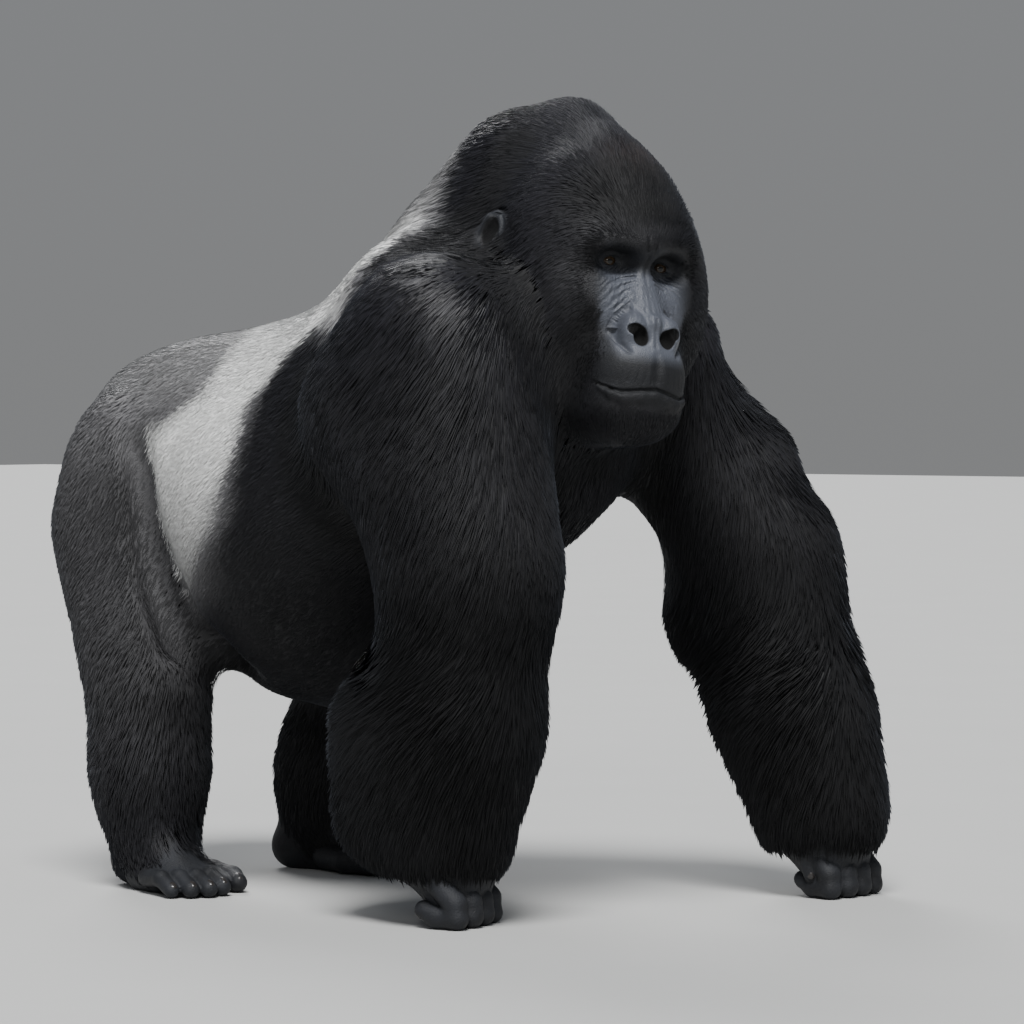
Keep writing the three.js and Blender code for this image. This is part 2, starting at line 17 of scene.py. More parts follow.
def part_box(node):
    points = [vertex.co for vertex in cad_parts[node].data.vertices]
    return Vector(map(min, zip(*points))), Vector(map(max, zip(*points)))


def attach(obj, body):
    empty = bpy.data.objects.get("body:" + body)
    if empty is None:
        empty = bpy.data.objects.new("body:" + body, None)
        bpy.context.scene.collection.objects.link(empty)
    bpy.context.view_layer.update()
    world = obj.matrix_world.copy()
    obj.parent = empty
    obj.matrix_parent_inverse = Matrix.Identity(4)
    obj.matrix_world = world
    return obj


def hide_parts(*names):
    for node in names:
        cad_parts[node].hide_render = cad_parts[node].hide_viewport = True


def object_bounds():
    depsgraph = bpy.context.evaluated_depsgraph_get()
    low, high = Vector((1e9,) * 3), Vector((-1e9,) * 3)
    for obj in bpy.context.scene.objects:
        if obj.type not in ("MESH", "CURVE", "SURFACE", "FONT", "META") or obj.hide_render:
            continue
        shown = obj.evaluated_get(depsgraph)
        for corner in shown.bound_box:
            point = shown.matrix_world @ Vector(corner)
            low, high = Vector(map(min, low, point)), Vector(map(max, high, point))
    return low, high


bl_info = {
    "name": "Silverback gorilla",
    "version": (1, 0, 0),
    "blender": (4, 5, 0),
    "location": "3D View > Sidebar > Gorilla",
    "description": "Skin, eyes, nails and coat of a life-size gorilla",
    "category": "Object",
}

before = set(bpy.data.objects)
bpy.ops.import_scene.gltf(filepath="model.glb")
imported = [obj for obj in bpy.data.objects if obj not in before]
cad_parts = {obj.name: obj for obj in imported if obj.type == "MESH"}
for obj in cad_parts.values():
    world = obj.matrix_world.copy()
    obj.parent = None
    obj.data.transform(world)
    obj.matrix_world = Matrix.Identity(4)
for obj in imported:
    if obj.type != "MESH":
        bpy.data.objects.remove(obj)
CAD_LOW, CAD_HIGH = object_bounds()

SIDES = ("right", "left")
SIGN = {"right": -1.0, "left": 1.0}
FLESH = [name for name in sorted(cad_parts) if not name.startswith("eye_")]

# ---- Places worked out from the frame ------------------------------------------------------------


def middle(name):
    """The middle of a node's box."""
    low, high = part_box(name)
    return np.array((low + high) / 2)


def node_points(name):
    """The vertices of a node of the frame."""
    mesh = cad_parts[name].data
    points = np.empty(len(mesh.vertices) * 3, np.float32)
    mesh.vertices.foreach_get("co", points)
    return points.reshape(-1, 3).astype(float)


def seam(a, b, reach=0.004):
    """The middle of where node a meets node b."""
    points = node_points(b)
    tree = BVHTree.FromPolygons(
        [tuple(p) for p in points], [tuple(f.vertices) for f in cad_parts[b].data.polygons]
    )
    near = [p for p in node_points(a) if tree.find_nearest(p, reach)[0] is not None]
    return np.mean(near, axis=0)


ELBOW = {s: seam(f"forearm_{s}", f"upper_arm_{s}") for s in SIDES}
WRIST = {s: seam(f"hand_{s}", f"forearm_{s}") for s in SIDES}
ANKLE = {s: seam(f"foot_{s}", f"shin_{s}") for s in SIDES}
SHOULDER = {s: middle(f"upper_arm_{s}") + np.array([0, 0.03, 0.14]) for s in SIDES}

# The head's own axes, in millimetres: x to its left, y backwards, z up, origin between the pupils.
MM = 0.001
EYE_CENTRE = {s: middle(f"eye_{s}") for s in SIDES}
EYE_DEPTH = 13.0
HEAD_X = EYE_CENTRE["left"] - EYE_CENTRE["right"]
EYE_APART = float(np.linalg.norm(HEAD_X)) / 2 / MM
HEAD_X = HEAD_X / np.linalg.norm(HEAD_X)
HEAD_Y = np.cross([0.0, 0.0, 1.0], HEAD_X)
HEAD_Y = HEAD_Y / np.linalg.norm(HEAD_Y)
HEAD_Z = np.cross(HEAD_X, HEAD_Y)
HEAD_AXES = np.array([HEAD_X, HEAD_Y, HEAD_Z])
HEAD_ORIGIN = (EYE_CENTRE["left"] + EYE_CENTRE["right"]) / 2 - EYE_DEPTH * MM * HEAD_Y


def to_head(points):
    """Points in metres to the head's own axes."""
    return (points - HEAD_ORIGIN) @ HEAD_AXES.T / MM


def from_head(points):
    """Points in the head's own axes to metres."""
    return np.asarray(points, float) * MM @ HEAD_AXES + HEAD_ORIGIN


# ---- Numbers and curves --------------------------------------------------------------------------


def smoothstep(low, high, value):
    t = np.clip((value - low) / (high - low), 0.0, 1.0)
    return t * t * (3 - 2 * t)


def unit(v):
    """Vectors at length 1."""
    return v / np.maximum(np.linalg.norm(v, axis=-1, keepdims=True), 1e-9)


def ripple(points, size, seed, count=8):
    """A soft random field from -1 to 1 whose features are about `size` across."""
    random = np.random.default_rng(seed)
    total = np.zeros(len(points))
    for _ in range(count):
        way = random.normal(size=3)
        way *= 2 * math.pi / (size * random.uniform(1.4, 3.0)) / np.linalg.norm(way)
        total += np.sin(points @ way + random.uniform(0, 2 * math.pi))
    return total / math.sqrt(count)


# ---- Round masses: each returns the signed distance from points to its surface -------------------


def mass(centre, half, turn=(0, 0, 0)):
    """An ellipsoid with half sizes x, y, z, turned by angles in degrees."""
    axes = np.array(Euler([math.radians(a) for a in turn], "ZYX").to_matrix())
    centre, half = np.array(centre, float), np.array(half, float)

    def distance(p):
        q = (p - centre) @ axes
        near = np.linalg.norm(q / half, axis=1)
        slope = np.linalg.norm(q / half**2, axis=1)
        return near * (near - 1) / np.maximum(slope, 1e-9)

    return distance


def muscle(a, b, radius_a, radius_b=None):
    """A rounded rod from a to b, with a radius at each end."""
    a, b = np.array(a, float), np.array(b, float)
    along = b - a
    radius_b = radius_a if radius_b is None else radius_b

    def distance(p):
        t = np.clip((p - a) @ along / (along @ along), 0, 1)
        return np.linalg.norm(p - a - t[:, None] * along, axis=1) - radius_a - (radius_b - radius_a) * t

    return distance


def chain(points, radii):
    """Rounded rods from point to point."""
    return [muscle(a, b, r, s) for a, b, r, s in zip(points, points[1:], radii, radii[1:])]


def melt(k, *masses):
    """Joins masses with a fillet of about k."""

    def distance(p):
        d = masses[0](p)
        for m in masses[1:]:
            e = m(p)
            h = np.maximum(k - np.abs(d - e), 0) / k
            d = np.minimum(d, e) - h * h * k / 4
        return d

    return distance


def dent(k, form, *hollows):
    """Hollows a form with soft-edged dents."""

    def distance(p):
        d = form(p)
        for m in hollows:
            e = -m(p)
            h = np.maximum(k - np.abs(d - e), 0) / k
            d = np.maximum(d, e) + h * h * k / 4
        return d

    return distance


def both(make):
    """The same mass on the right and the left."""
    return [make(-1), make(1)]


# ---- Head: the frame's own masses, drawn in by the coat, with lids, nostrils, lips and folds -----

skull = melt(
    50,
    mass((0, 118, 40), (112, 128, 104)),
    mass((0, 158, 92), (86, 132, 112), (-14, 0, 0)),
    mass((0, 238, 136), (86, 112, 124), (-8, 0, 0)),
    mass((0, 82, 76), (82, 88, 78)),
    *both(lambda s: mass((66 * s, 128, 14), (74, 112, 116))),
    *both(lambda s: mass((82 * s, 66, -62), (66, 84, 112))),
)
jaw = melt(
    36,
    mass((0, 4, -202), (80, 88, 50)),
    mass((0, 66, -178), (114, 98, 78)),
    mass((0, -34, -196), (62, 54, 50)),
)
muzzle = melt(
    26,
    mass((0, -12, -132), (70, 72, 50)),
    mass((0, -42, -152), (64, 53, 34)),
    muscle((0, 12, 4), (0, -28, -80), 28, 37),
    *both(lambda s: mass((50 * s, 6, -62), (34, 40, 50))),
)
brow = melt(
    18,
    *both(lambda s: muscle((10 * s, -27, 31), (72 * s, 5, 27), 20, 23)),
    mass((0, 4, 50), (78, 44, 36)),
)
nose = melt(
    7,
    *both(lambda s: mass((26 * s, -56, -100), (24, 25, 29), (0, 0, -16 * s))),
    mass((0, -64, -84), (14, 17, 15)),
    muscle((0, -71, -90), (0, -77, -124), 9, 8),
)

# Half the width of the bare face at each height.
FACE_WIDTH = (
    (-250, 40), (-200, 62), (-172, 74), (-140, 72), (-105, 64),
    (-78, 66), (-50, 77), (-20, 78), (4, 66), (60, 46),
)


def hairline(q):
    """Millimetres outside the edge of the bare face, for points in the head's own axes."""
    levels, widths = zip(*FACE_WIDTH)
    across = np.abs(q[:, 0]) - np.interp(q[:, 2], levels, widths)
    over = q[:, 2] - 20
    under = -(q[:, 2] + 198)
    behind = q[:, 1] - 40
    return np.maximum.reduce([across, over, under, behind])


def bareness(q):
    """1 on the bare face and 0 in the fur round it."""
    return smoothstep(7, -9, hairline(q) + 2.5 * ripple(q, 22, 11))


def face_tone(q):
    """How light the bare skin is: palest below the eyes and on the nose, darkest round the mouth, with
    a painted highlight on the brow ridge and painted shade over the eyes and in the creases.
    """
    x, z = np.abs(q[:, 0]), q[:, 2]
    cheek = smoothstep(-2, -24, z) * smoothstep(-116, -70, z) * smoothstep(84, 50, x + 0.25 * (z + 60))
    pad = smoothstep(-150, -122, z) * smoothstep(-54, -72, z) * smoothstep(60, 46, x)
    lids = 0.26 * smoothstep(24, 14, np.hypot(x - EYE_APART, z * 1.3))
    # painted shade: the upper lids are darker under the brow
    lids = lids * (0.3 + 0.7 * smoothstep(5, -5, z))
    # painted highlight along the ridge of the brow
    ridge = 0.20 * smoothstep(12, 22, z) * smoothstep(42, 30, z) * smoothstep(76, 56, x)
    ears = 0.22 * smoothstep(1.3, 1.0, ear_reach(q))
    dark = 0.14 * smoothstep(-124, -140, z) * (q[:, 1] < 40)
    # painted shade over the eyes, under the brow
    dark = dark + 0.16 * smoothstep(30, 12, np.hypot(x - EYE_APART, z - 10))
    # painted shade in the sunk wrinkles and in the groove round the nose
    creased = 0.07 * np.minimum(face_folds(q), 0)
    return np.clip(np.maximum.reduce([cheek, pad, lids, ridge, ears]), 0, 1) - dark + creased


def hollows(q):
    """Painted shade: 1 deep inside the nostrils and between the lips, and nearly 1 in the bowl of each
    ear, where the skin is painted near-black.
    """
    sunk = -base_head(q) - head_coat_depth(q)
    nose = smoothstep(0.4, 2.2, sunk) * (melt(1, *nostril(-1), *nostril(1))(q) < 2.5)
    line = melt(1, *chain(lips(base_head, 0, 1.5), [2.2] * 9))(q)
    mouth = smoothstep(0.5, 1.8, sunk) * (line < 0)
    bowl = smoothstep(0.95, 0.55, ear_reach(q)) * 0.92
    return np.clip(nose + mouth + bowl, 0, 1)


def head_coat_depth(q):
    """How far the skin lies inside the frame's head, in millimetres."""
    edge = hairline(q)
    return 1.5 + 9.0 * smoothstep(-2, 70, edge)


def fan_angle(q):
    """The angle of each point round a spot between the brows, seen from the front."""
    return np.arctan2(np.abs(q[:, 0]) - 4, 16 - q[:, 2])


def wrinkling(q):
    """1 where fine wrinkles fan out over the cheeks."""
    x, z = np.abs(q[:, 0]), q[:, 2]
    below = smoothstep(4, -14, z) * smoothstep(-96, -62, z)
    return below * smoothstep(84, 66, x) * smoothstep(10, 24, x - 0.1 * z)


def face_folds(q):
    """Raised folds and sunk wrinkles of the bare face, in millimetres along its surface."""
    x, z = np.abs(q[:, 0]), q[:, 2]
    height = np.zeros(len(q))

    def stroke(path, width, rise):
        nearest = np.full(len(q), 1e9)
        for (xa, za), (xb, zb) in zip(path, path[1:]):
            dx, dz = xb - xa, zb - za
            t = np.clip(((x - xa) * dx + (z - za) * dz) / (dx * dx + dz * dz), 0, 1)
            nearest = np.minimum(nearest, np.hypot(x - xa - t * dx, z - za - t * dz))
        return rise * np.exp(-((nearest / width) ** 2))

    for k in range(7):  # wrinkles that fan down and out from the bridge, below the eye
        slope = math.radians(14 + 8 * k)
        start = (14 + 1.2 * k, -13 - 7.5 * k)
        long = 46 - 2.5 * k
        mid = (start[0] + 0.5 * long * math.cos(slope), start[1] - 0.5 * long * math.sin(slope) + 2)
        end = (start[0] + long * math.cos(slope), start[1] - long * math.sin(slope))
        height += stroke((start, mid, end), 1.9, -1.7)
        height += stroke(tuple((a, b - 4.0) for a, b in (start, mid, end)), 2.4, 0.8)
    height += stroke(((26, -10), (41, -14), (57, -9)), 1.8, -1.3)  # below the lower lid
    height += stroke(((25, 10), (41, 14), (58, 9)), 1.8, -1.3)  # above the upper lid
    height += stroke(((0, 8), (0, -40), (0, -72)), 3.0, -1.2)  # along the bridge
    height += stroke(((5, -34), (7, -52), (10, -68)), 1.6, -0.7)
    height += stroke(((30, -66), (41, -76), (48, -90), (50, -104)), 2.8, -5.2)  # round the nose
    height += stroke(((50, -104), (47, -117), (38, -128)), 3.6, -4.2)
    height += stroke(((0, -80), (0, -118)), 3.5, -2.2)  # down the middle of the nose
    height += stroke(((9, 36), (6, 16)), 2.5, -1.4)  # between the brows
    for k in range(5):  # upright creases above the lip
        height += stroke(((8 + 9 * k, -148), (9 + 10.5 * k, -170)), 1.6, -0.5)
    return height * smoothstep(40, 10, q[:, 1])


def eye_lids(s):
    """The swelling of both lids over an eyeball."""
    return mass((EYE_APART * s, EYE_DEPTH, 0), (17.4, 17.4, 17.4))


def eye_opening(s):
    """The almond-shaped gap between the lids, down to just below the surface of the eyeball."""
    centre = np.array([EYE_APART * s, 0, -0.5])
    ball = mass((EYE_APART * s, EYE_DEPTH, 0), (13.8, 13.8, 13.8))

    def distance(p):
        q = p - centre
        q = np.stack([q[:, 0], np.zeros(len(q)), q[:, 2] + 0.10 * s * q[:, 0]], axis=1)
        upper = mass((0, 0, -4.0), (15.4, 50, 11.4))(q)
        lower = mass((0, 0, 4.0), (15.4, 50, 10.6))(q)
        return np.maximum.reduce([upper, lower, -ball(p), p[:, 1] - 14])

    return distance


def nostril(s):
    """A comma-shaped nostril: a round beside the septum with a tail that rises outwards."""
    return (
        mass((20.5 * s, -79, -105), (12, 16, 13), (0, -12 * s, -10 * s)),
        mass((31 * s, -75, -96), (10, 13.5, 7.5), (0, 0, -14 * s)),
    )


LIP_LINE = ((-74, -173), (-63, -180), (-46, -185), (-22, -181), (0, -177.5))


def front_of(form, places, inside=0.0):
    """The front-most points of a form at some (x, z), moved in by `inside`."""
    y = np.arange(-140.0, 60.0, 0.5)
    found = []
    for x, z in places:
        line = np.stack([np.full(len(y), x), y, np.full(len(y), z)], axis=1)
        found.append((x, y[np.argmax(form(line) < 0)] + inside, z))
    return found


def lips(form, drop=0.0, inside=0.0, spread=1.0):
    """Points along the mouth from corner to corner, lowered by `drop`."""
    line = [(x * spread, z - drop) for x, z in LIP_LINE]
    return front_of(form, [*line, *[(-x, z) for x, z in reversed(line[:-1])]], inside)


sockets = both(lambda s: mass((43 * s, -24, -4), (27, 27, 18)))
ear_dips = both(lambda s: mass((172 * s, 162, 26), (42, 44, 52)))
rounded_head = dent(14, melt(34, skull, jaw, melt(8, muzzle, nose), brow), *sockets)
rounded_head = dent(16, rounded_head, *ear_dips)


def base_head(p):
    """The head to the tips of its coat, with a shallow trough above the ridge of the brow."""
    trough = 5.0 * np.exp(-(((p[:, 2] - 60) / 12) ** 2))
    return rounded_head(p) + trough * smoothstep(84, 50, np.abs(p[:, 0])) * smoothstep(30, -5, p[:, 1])


def make_head_form(opened):
    """The head's skin; `opened` goes from 0 to 1 as the nostrils, lips and lids are cut deeper."""
    shut = 14.0 * (1 - opened)

    def closing(hollow):
        return lambda p: hollow(p) + shut

    def covered(p):
        return base_head(p) + head_coat_depth(p) - face_folds(p)

    form = melt(7, covered, *both(eye_lids))
    form = dent(4, form, *[closing(part) for s in (-1, 1) for part in nostril(s)])
    below_nose = front_of(base_head, ((0, -128), (0, -146), (0, -164)), -1.5)
    form = dent(10, form, *chain(below_nose, [1.0, 3.0, 4.0]))
    form = melt(9, form, *chain(lips(base_head, 8, 5.0, 0.88), [2, 4, 5, 5.4, 5.4, 5.4, 5, 4, 2]))
    gap = [1.4, 2.0, 2.4, 2.4, 2.4, 2.4, 2.4, 2.0, 1.4]
    form = dent(3.0, form, *chain(lips(base_head, 0, 1.5), gap))
    form = dent(1.0, form, *both(lambda s: lambda p: eye_opening(s)(p) + 0.3 * shut))
    return melt(6, form, ear_form(-1), ear_form(1))


EARS = {s: np.array([145 * s, 162, 27]) for s in (-1, 1)}
EAR_HALF = np.array([22, 27, 39])
EAR_TURN = 14.0


def ear_form(s):
    """A rim round a bowl, with an inner fold, a canal and the small flap in front of it."""
    turn = (8, 0, -EAR_TURN * s)
    centre = EARS[s]
    rim = mass(centre, (12.5, 24, 36.5), turn)
    bowl = mass(centre + np.array([12 * s, -6, 3]), (12.5, 18.5, 30), turn)
    canal = mass(centre + np.array([3 * s, -12, -6]), (10, 7, 9))
    bends = [centre + np.array(p) for p in ((6 * s, 0, 20), (5 * s, 8, 6), (5 * s, 6, -14))]
    fold = chain(bends, [2.2, 2.8, 2.4])
    flap = muscle(centre + np.array([7 * s, -21, 2]), centre + np.array([7 * s, -20, -8]), 4.5)
    return melt(3, dent(2.5, rim, bowl, canal), *fold, flap)


def ear_reach(q):
    """How far points are from the middle of the nearest ear: 1 at its edge."""
    return np.min([np.linalg.norm((q - e) / EAR_HALF, axis=1) for e in EARS.values()], axis=0)


# ---- Hands and feet, each in millimetres in its own axes -----------------------------------------

FINGER_PITCH = 33.0
KNUCKLE_BEHIND = 17.0  # from the middle of the flats under the fingers back to the knuckles
FINGER_RADIUS = 16.5
HAND_HEADING = {"right": 8.0, "left": -6.0}
TOE_TURN = {"right": 18.0, "left": 16.0}


class Place:
    """A local frame on the floor: x across, y forwards, z up, in millimetres."""

    def __init__(self, origin, across, forward):
        self.origin = np.array([origin[0], origin[1], 0.0])
        self.axes = np.array([across, forward, (0.0, 0.0, 1.0)])

    def inside(self, points):
        return (points - self.origin) @ self.axes.T / MM

    def outside(self, points):
        return np.asarray(points, float) * MM @ self.axes + self.origin


def hand_place(side):
    """Its origin is on the floor below the row of knuckles."""
    heading = math.radians(HAND_HEADING[side])
    across = (math.cos(heading), math.sin(heading), 0)
    forward = (math.sin(heading), -math.cos(heading), 0)
    points = node_points(f"hand_{side}")
    soles = points[points[:, 2] < MM]
    middle_of_soles = (soles.min(axis=0) + soles.max(axis=0)) / 2
    return Place(middle_of_soles - KNUCKLE_BEHIND * MM * np.array(forward), across, forward)


def finger_bones():
    """The bent line and the radii of each finger, from its knuckle to its tip."""
    fingers = []
    sizes = ((-1.5, 0.90, 0.98), (-0.5, 1.0, 1.04), (0.5, 0.97, 1.0), (1.5, 0.84, 0.9))
    for place, reach, thick in sizes:
        x, r = place * FINGER_PITCH, FINGER_RADIUS * thick
        bones = [(x, 0, 66), (x, 33 * reach, 36), (x, 36 * reach, r), (x, 0, r), (x, -20, 26)]
        fingers.append((bones, [r * 1.1, r * 1.0, r * 0.98, r * 0.92, r * 0.8]))
    return fingers


def thumb_bones(side):
    """The line and the radii of the thumb, which hangs inside the fingers."""
    inner = -SIGN[side]
    return [(inner * 44, -18, 92), (inner * 62, -2, 62), (inner * 60, 4, 36)], [15, 13.5, 11]


def hand_form(side):
    """Bent fingers that stand on the backs of their middle bones, with the thumb inside."""
    wrist = hand_place(side).inside(WRIST[side])
    fingers = [melt(5, *chain(*bones)) for bones in finger_bones()]
    webs = [
        muscle(wrist + np.array([0.45 * bones[0][0], -4, 20]), (bones[0][0], -2, 68), 27, 18)
        for bones, _ in finger_bones()
    ]
    palm = melt(16, *webs, muscle(wrist + np.array([0, 0, 60]), (0, -12, 72), 46, 25))
    thumb = melt(5, *chain(*thumb_bones(side)))
    return melt(2.5, melt(7, palm, thumb), *fingers)


def foot_place(side):
    """Its origin is on the floor below the ankle."""
    turn = math.radians(TOE_TURN[side]) * SIGN[side]
    out = (SIGN[side] * math.cos(turn), SIGN[side] * math.sin(turn), 0)
    forward = (math.sin(turn), -math.cos(turn), 0)
    return Place(ANKLE[side], out, forward)


BIG_TOE = [(-34, 40, 26), (-66, 84, 23), (-74, 128, 20), (-67, 158, 15)], [22, 19, 16, 14]


def toe_bones():
    """The line and the radii of each small toe."""
    toes = []
    sizes = ((46, 108, 78, 12), (25, 120, 84, 13), (2, 124, 88, 13.5), (-22, 120, 82, 14))
    for x, start, reach, r in sizes:
        joint, tip = start + reach * 0.36, start + reach * 0.78
        bones = [(x, start - 20, 24), (x * 1.1, joint, 26), (x * 1.12, tip, r)]
        toes.append((bones, [r * 1.2, r, r * 0.96]))
    return toes


def foot_form():
    """A flat sole with four toes in front and the big toe standing inwards like a thumb."""
    sole = melt(
        20,
        muscle((0, -34, 34), (6, 60, 34), 34, 34),
        muscle((0, 30, 40), (6, 104, 28), 38, 29),
        muscle((-16, 60, 26), (-18, 108, 22), 26, 22),
        muscle((24, 40, 26), (28, 100, 20), 28, 20),
        muscle((0, -14, 50), (0, -10, 190), 42, 46),
    )
    toes = [melt(4, *chain(*bones)) for bones in toe_bones()]
    big = melt(6, *chain(*BIG_TOE))
    return melt(3, melt(12, sole, big), *toes)


# ---- Coat of each node: all lengths in metres ----------------------------------------------------

# depth: how far the skin lies below the frame's surface. length and width: a tuft's own.
# cover: how thickly the tufts stand, 1 being usual.
COAT = {
    "head": dict(depth=0.010, length=0.048, width=0.0016, cover=1.9),
    "neck": dict(depth=0.011, length=0.058, width=0.0018, cover=1.4),
    "chest": dict(depth=0.009, length=0.034, width=0.0016, cover=1.1),
    "belly": dict(depth=0.003, length=0.016, width=0.0011, cover=1.0),
    "pelvis": dict(depth=0.003, length=0.015, width=0.0011, cover=0.9),
    "upper_arm": dict(depth=0.014, length=0.072, width=0.0019, cover=1.3),
    "forearm": dict(depth=0.021, length=0.080, width=0.0020, cover=1.3),
    "hand": dict(depth=0.014, length=0.026, width=0.0015, cover=0.7),
    "thigh": dict(depth=0.005, length=0.020, width=0.0013, cover=1.0),
    "shin": dict(depth=0.012, length=0.034, width=0.0018, cover=0.9),
    "foot": dict(depth=0.007, length=0.016, width=0.0014, cover=0.7),
    "ear": dict(depth=0.002, length=0.008, width=0.0010, cover=0.1),
}
FIELDS = ("depth", "length", "width", "cover")


def kind(name):
    """A node's name without its side."""
    return name.removesuffix("_right").removesuffix("_left")


# ---- The surface that the tips of the coat reach -------------------------------------------------


class Web:
    """Neighbours of each vertex of a mesh, for smoothing values over it."""

    def __init__(self, count, edges):
        ends = np.concatenate([edges, edges[:, ::-1]])
        ends = ends[np.argsort(ends[:, 0], kind="stable")]
        self.other = ends[:, 1]
        self.degree = np.bincount(ends[:, 0], minlength=count)
        self.start = np.concatenate([[0], np.cumsum(self.degree)[:-1]])
        self.full = self.degree > 0

    def average(self, values):
        total = np.add.reduceat(values[self.other], np.minimum(self.start, len(self.other) - 1), axis=0)
        shape = (-1,) + (1,) * (values.ndim - 1)
        mean = total / np.maximum(self.degree, 1).reshape(shape)
        return np.where(self.full.reshape(shape), mean, values)

    def spread(self, values, steps, amount=1.0):
        for _ in range(steps):
            values = values + amount * (self.average(values) - values)
        return values


def mesh_arrays(mesh):
    """Points, edges and triangles of a mesh."""
    points = np.empty(len(mesh.vertices) * 3, np.float32)
    mesh.vertices.foreach_get("co", points)
    edges = np.empty(len(mesh.edges) * 2, np.int32)
    mesh.edges.foreach_get("vertices", edges)
    mesh.calc_loop_triangles()
    triangles = np.empty(len(mesh.loop_triangles) * 3, np.int32)
    mesh.loop_triangles.foreach_get("vertices", triangles)
    return points.reshape(-1, 3).astype(float), edges.reshape(-1, 2), triangles.reshape(-1, 3)


def point_normals(points, triangles):
    """The way outwards at each point."""
    a, b, c = (points[triangles[:, k]] for k in range(3))
    across = np.cross(b - a, c - a)
    total = np.zeros_like(points)
    for k in range(3):
        for axis in range(3):
            total[:, axis] += np.bincount(triangles[:, k], across[:, axis], minlength=len(points))
    return unit(total)


def tree_of(points, triangles):
    return BVHTree.FromPolygons(points.tolist(), triangles.tolist())


def lie_of_coat(points, names):
    """The way the hair lies at each point, for the node it is on."""
    way = np.zeros_like(points)
    q = to_head(points)
    for name in FLESH:
        on = names == name
        p, part = points[on], kind(name)
        side = "left" if name.endswith("left") else "right"
        if part in ("head", "ear"):
            way[on] = head_lie(q[on])
        elif part == "neck":
            out = p * [1, 0, 0] + np.array([-0.3 * HEAD_ORIGIN[0], 0.30, -0.02])
            way[on] = unit(out) + np.array([0, 0.5, -0.45])
        elif part == "chest":
            front = smoothstep(-0.16, -0.30, p[:, 1])[:, None]
            back = p * [1.2, 0, 0] + np.array([0, 0.7, -0.35])
            down = p * [1.5, 0, 0] + np.array([0, 0.2, -1.0])
            way[on] = back * (1 - front) + down * front
        elif part in ("belly", "pelvis"):
            way[on] = p * [0.8, 0, 0] + np.array([0, 0.85, -0.75])
        elif part == "upper_arm":
            top = SHOULDER[side] + np.array([-SIGN[side] * 0.10, -0.16, 0.16])
            fan = unit(p - top)
            way[on] = fan + np.array([0, 0.25, -0.55])
        elif part == "forearm":
            low = smoothstep(0.40, 0.16, p[:, 2])[:, None]
            way[on] = np.array([0, 0.95, -0.5]) * (1 - low) + np.array([0, 0.35, -0.95]) * low
        elif part == "hand":
            way[on] = np.array([0, -0.1, -1.0])
        elif part == "thigh":
            way[on] = np.array([0, 0.45, -0.9])
        elif part == "shin":
            way[on] = np.array([0, 0.30, -0.95])
        else:
            way[on] = np.array([0, -0.8, -0.6])
    return way


def head_lie(q):
    """Hair leaves the face in all directions, then turns back and down towards the nape."""
    centre = np.array([0, -30, -70.0])
    radial = unit(q - centre)
    back = smoothstep(60, 250, q[:, 1])[:, None]
    droop = 1.5 * smoothstep(40, 100, np.abs(q[:, 0]))[:, None] * smoothstep(170, 60, q[:, 2])[:, None]
    way = radial * (1 - back) + np.array([0, 0.75, -0.65]) * back + np.array([0, 0.25, -1.0]) * droop
    return way @ HEAD_AXES


MIDLINE = float(middle("pelvis")[0])
# Where the belly overhangs the thigh, seen from the side: back and up.
GROIN = ((0.375, 0.72), (0.348, 0.64), (0.328, 0.54), (0.298, 0.46), (0.258, 0.385), (0.205, 0.32))


def behind_groin(points):
    """Distance behind the fold between belly and thigh; negative in front of it."""
    path = np.array(GROIN)
    best = np.full(len(points), 1e9)
    signed = np.zeros(len(points))
    for a, b in zip(path, path[1:]):
        along = b - a
        off = points[:, 1:] - a
        t = np.clip(off @ along / (along @ along), 0, 1)
        gap = off - t[:, None] * along
        far = np.hypot(*gap.T)
        side = np.sign(-along[1] * gap[:, 0] + along[0] * gap[:, 1])
        closer = far < best
        best = np.where(closer, far, best)
        signed = np.where(closer, far * side, signed)
    return signed


def groin(points):
    """How deep the fold between belly and thigh is pressed in."""
    far = behind_groin(points)
    x, z = np.abs(points[:, 0] - MIDLINE), points[:, 2]
    outer = smoothstep(0.10, 0.16, x) * smoothstep(0.28, 0.36, z)
    fold = 0.034 * np.exp(-((far / 0.022) ** 2)) * smoothstep(0.74, 0.64, z)
    step = 0.020 * smoothstep(-0.010, 0.020, far) * smoothstep(0.17, 0.05, far)
    return (fold + step * smoothstep(0.78, 0.64, z)) * outer


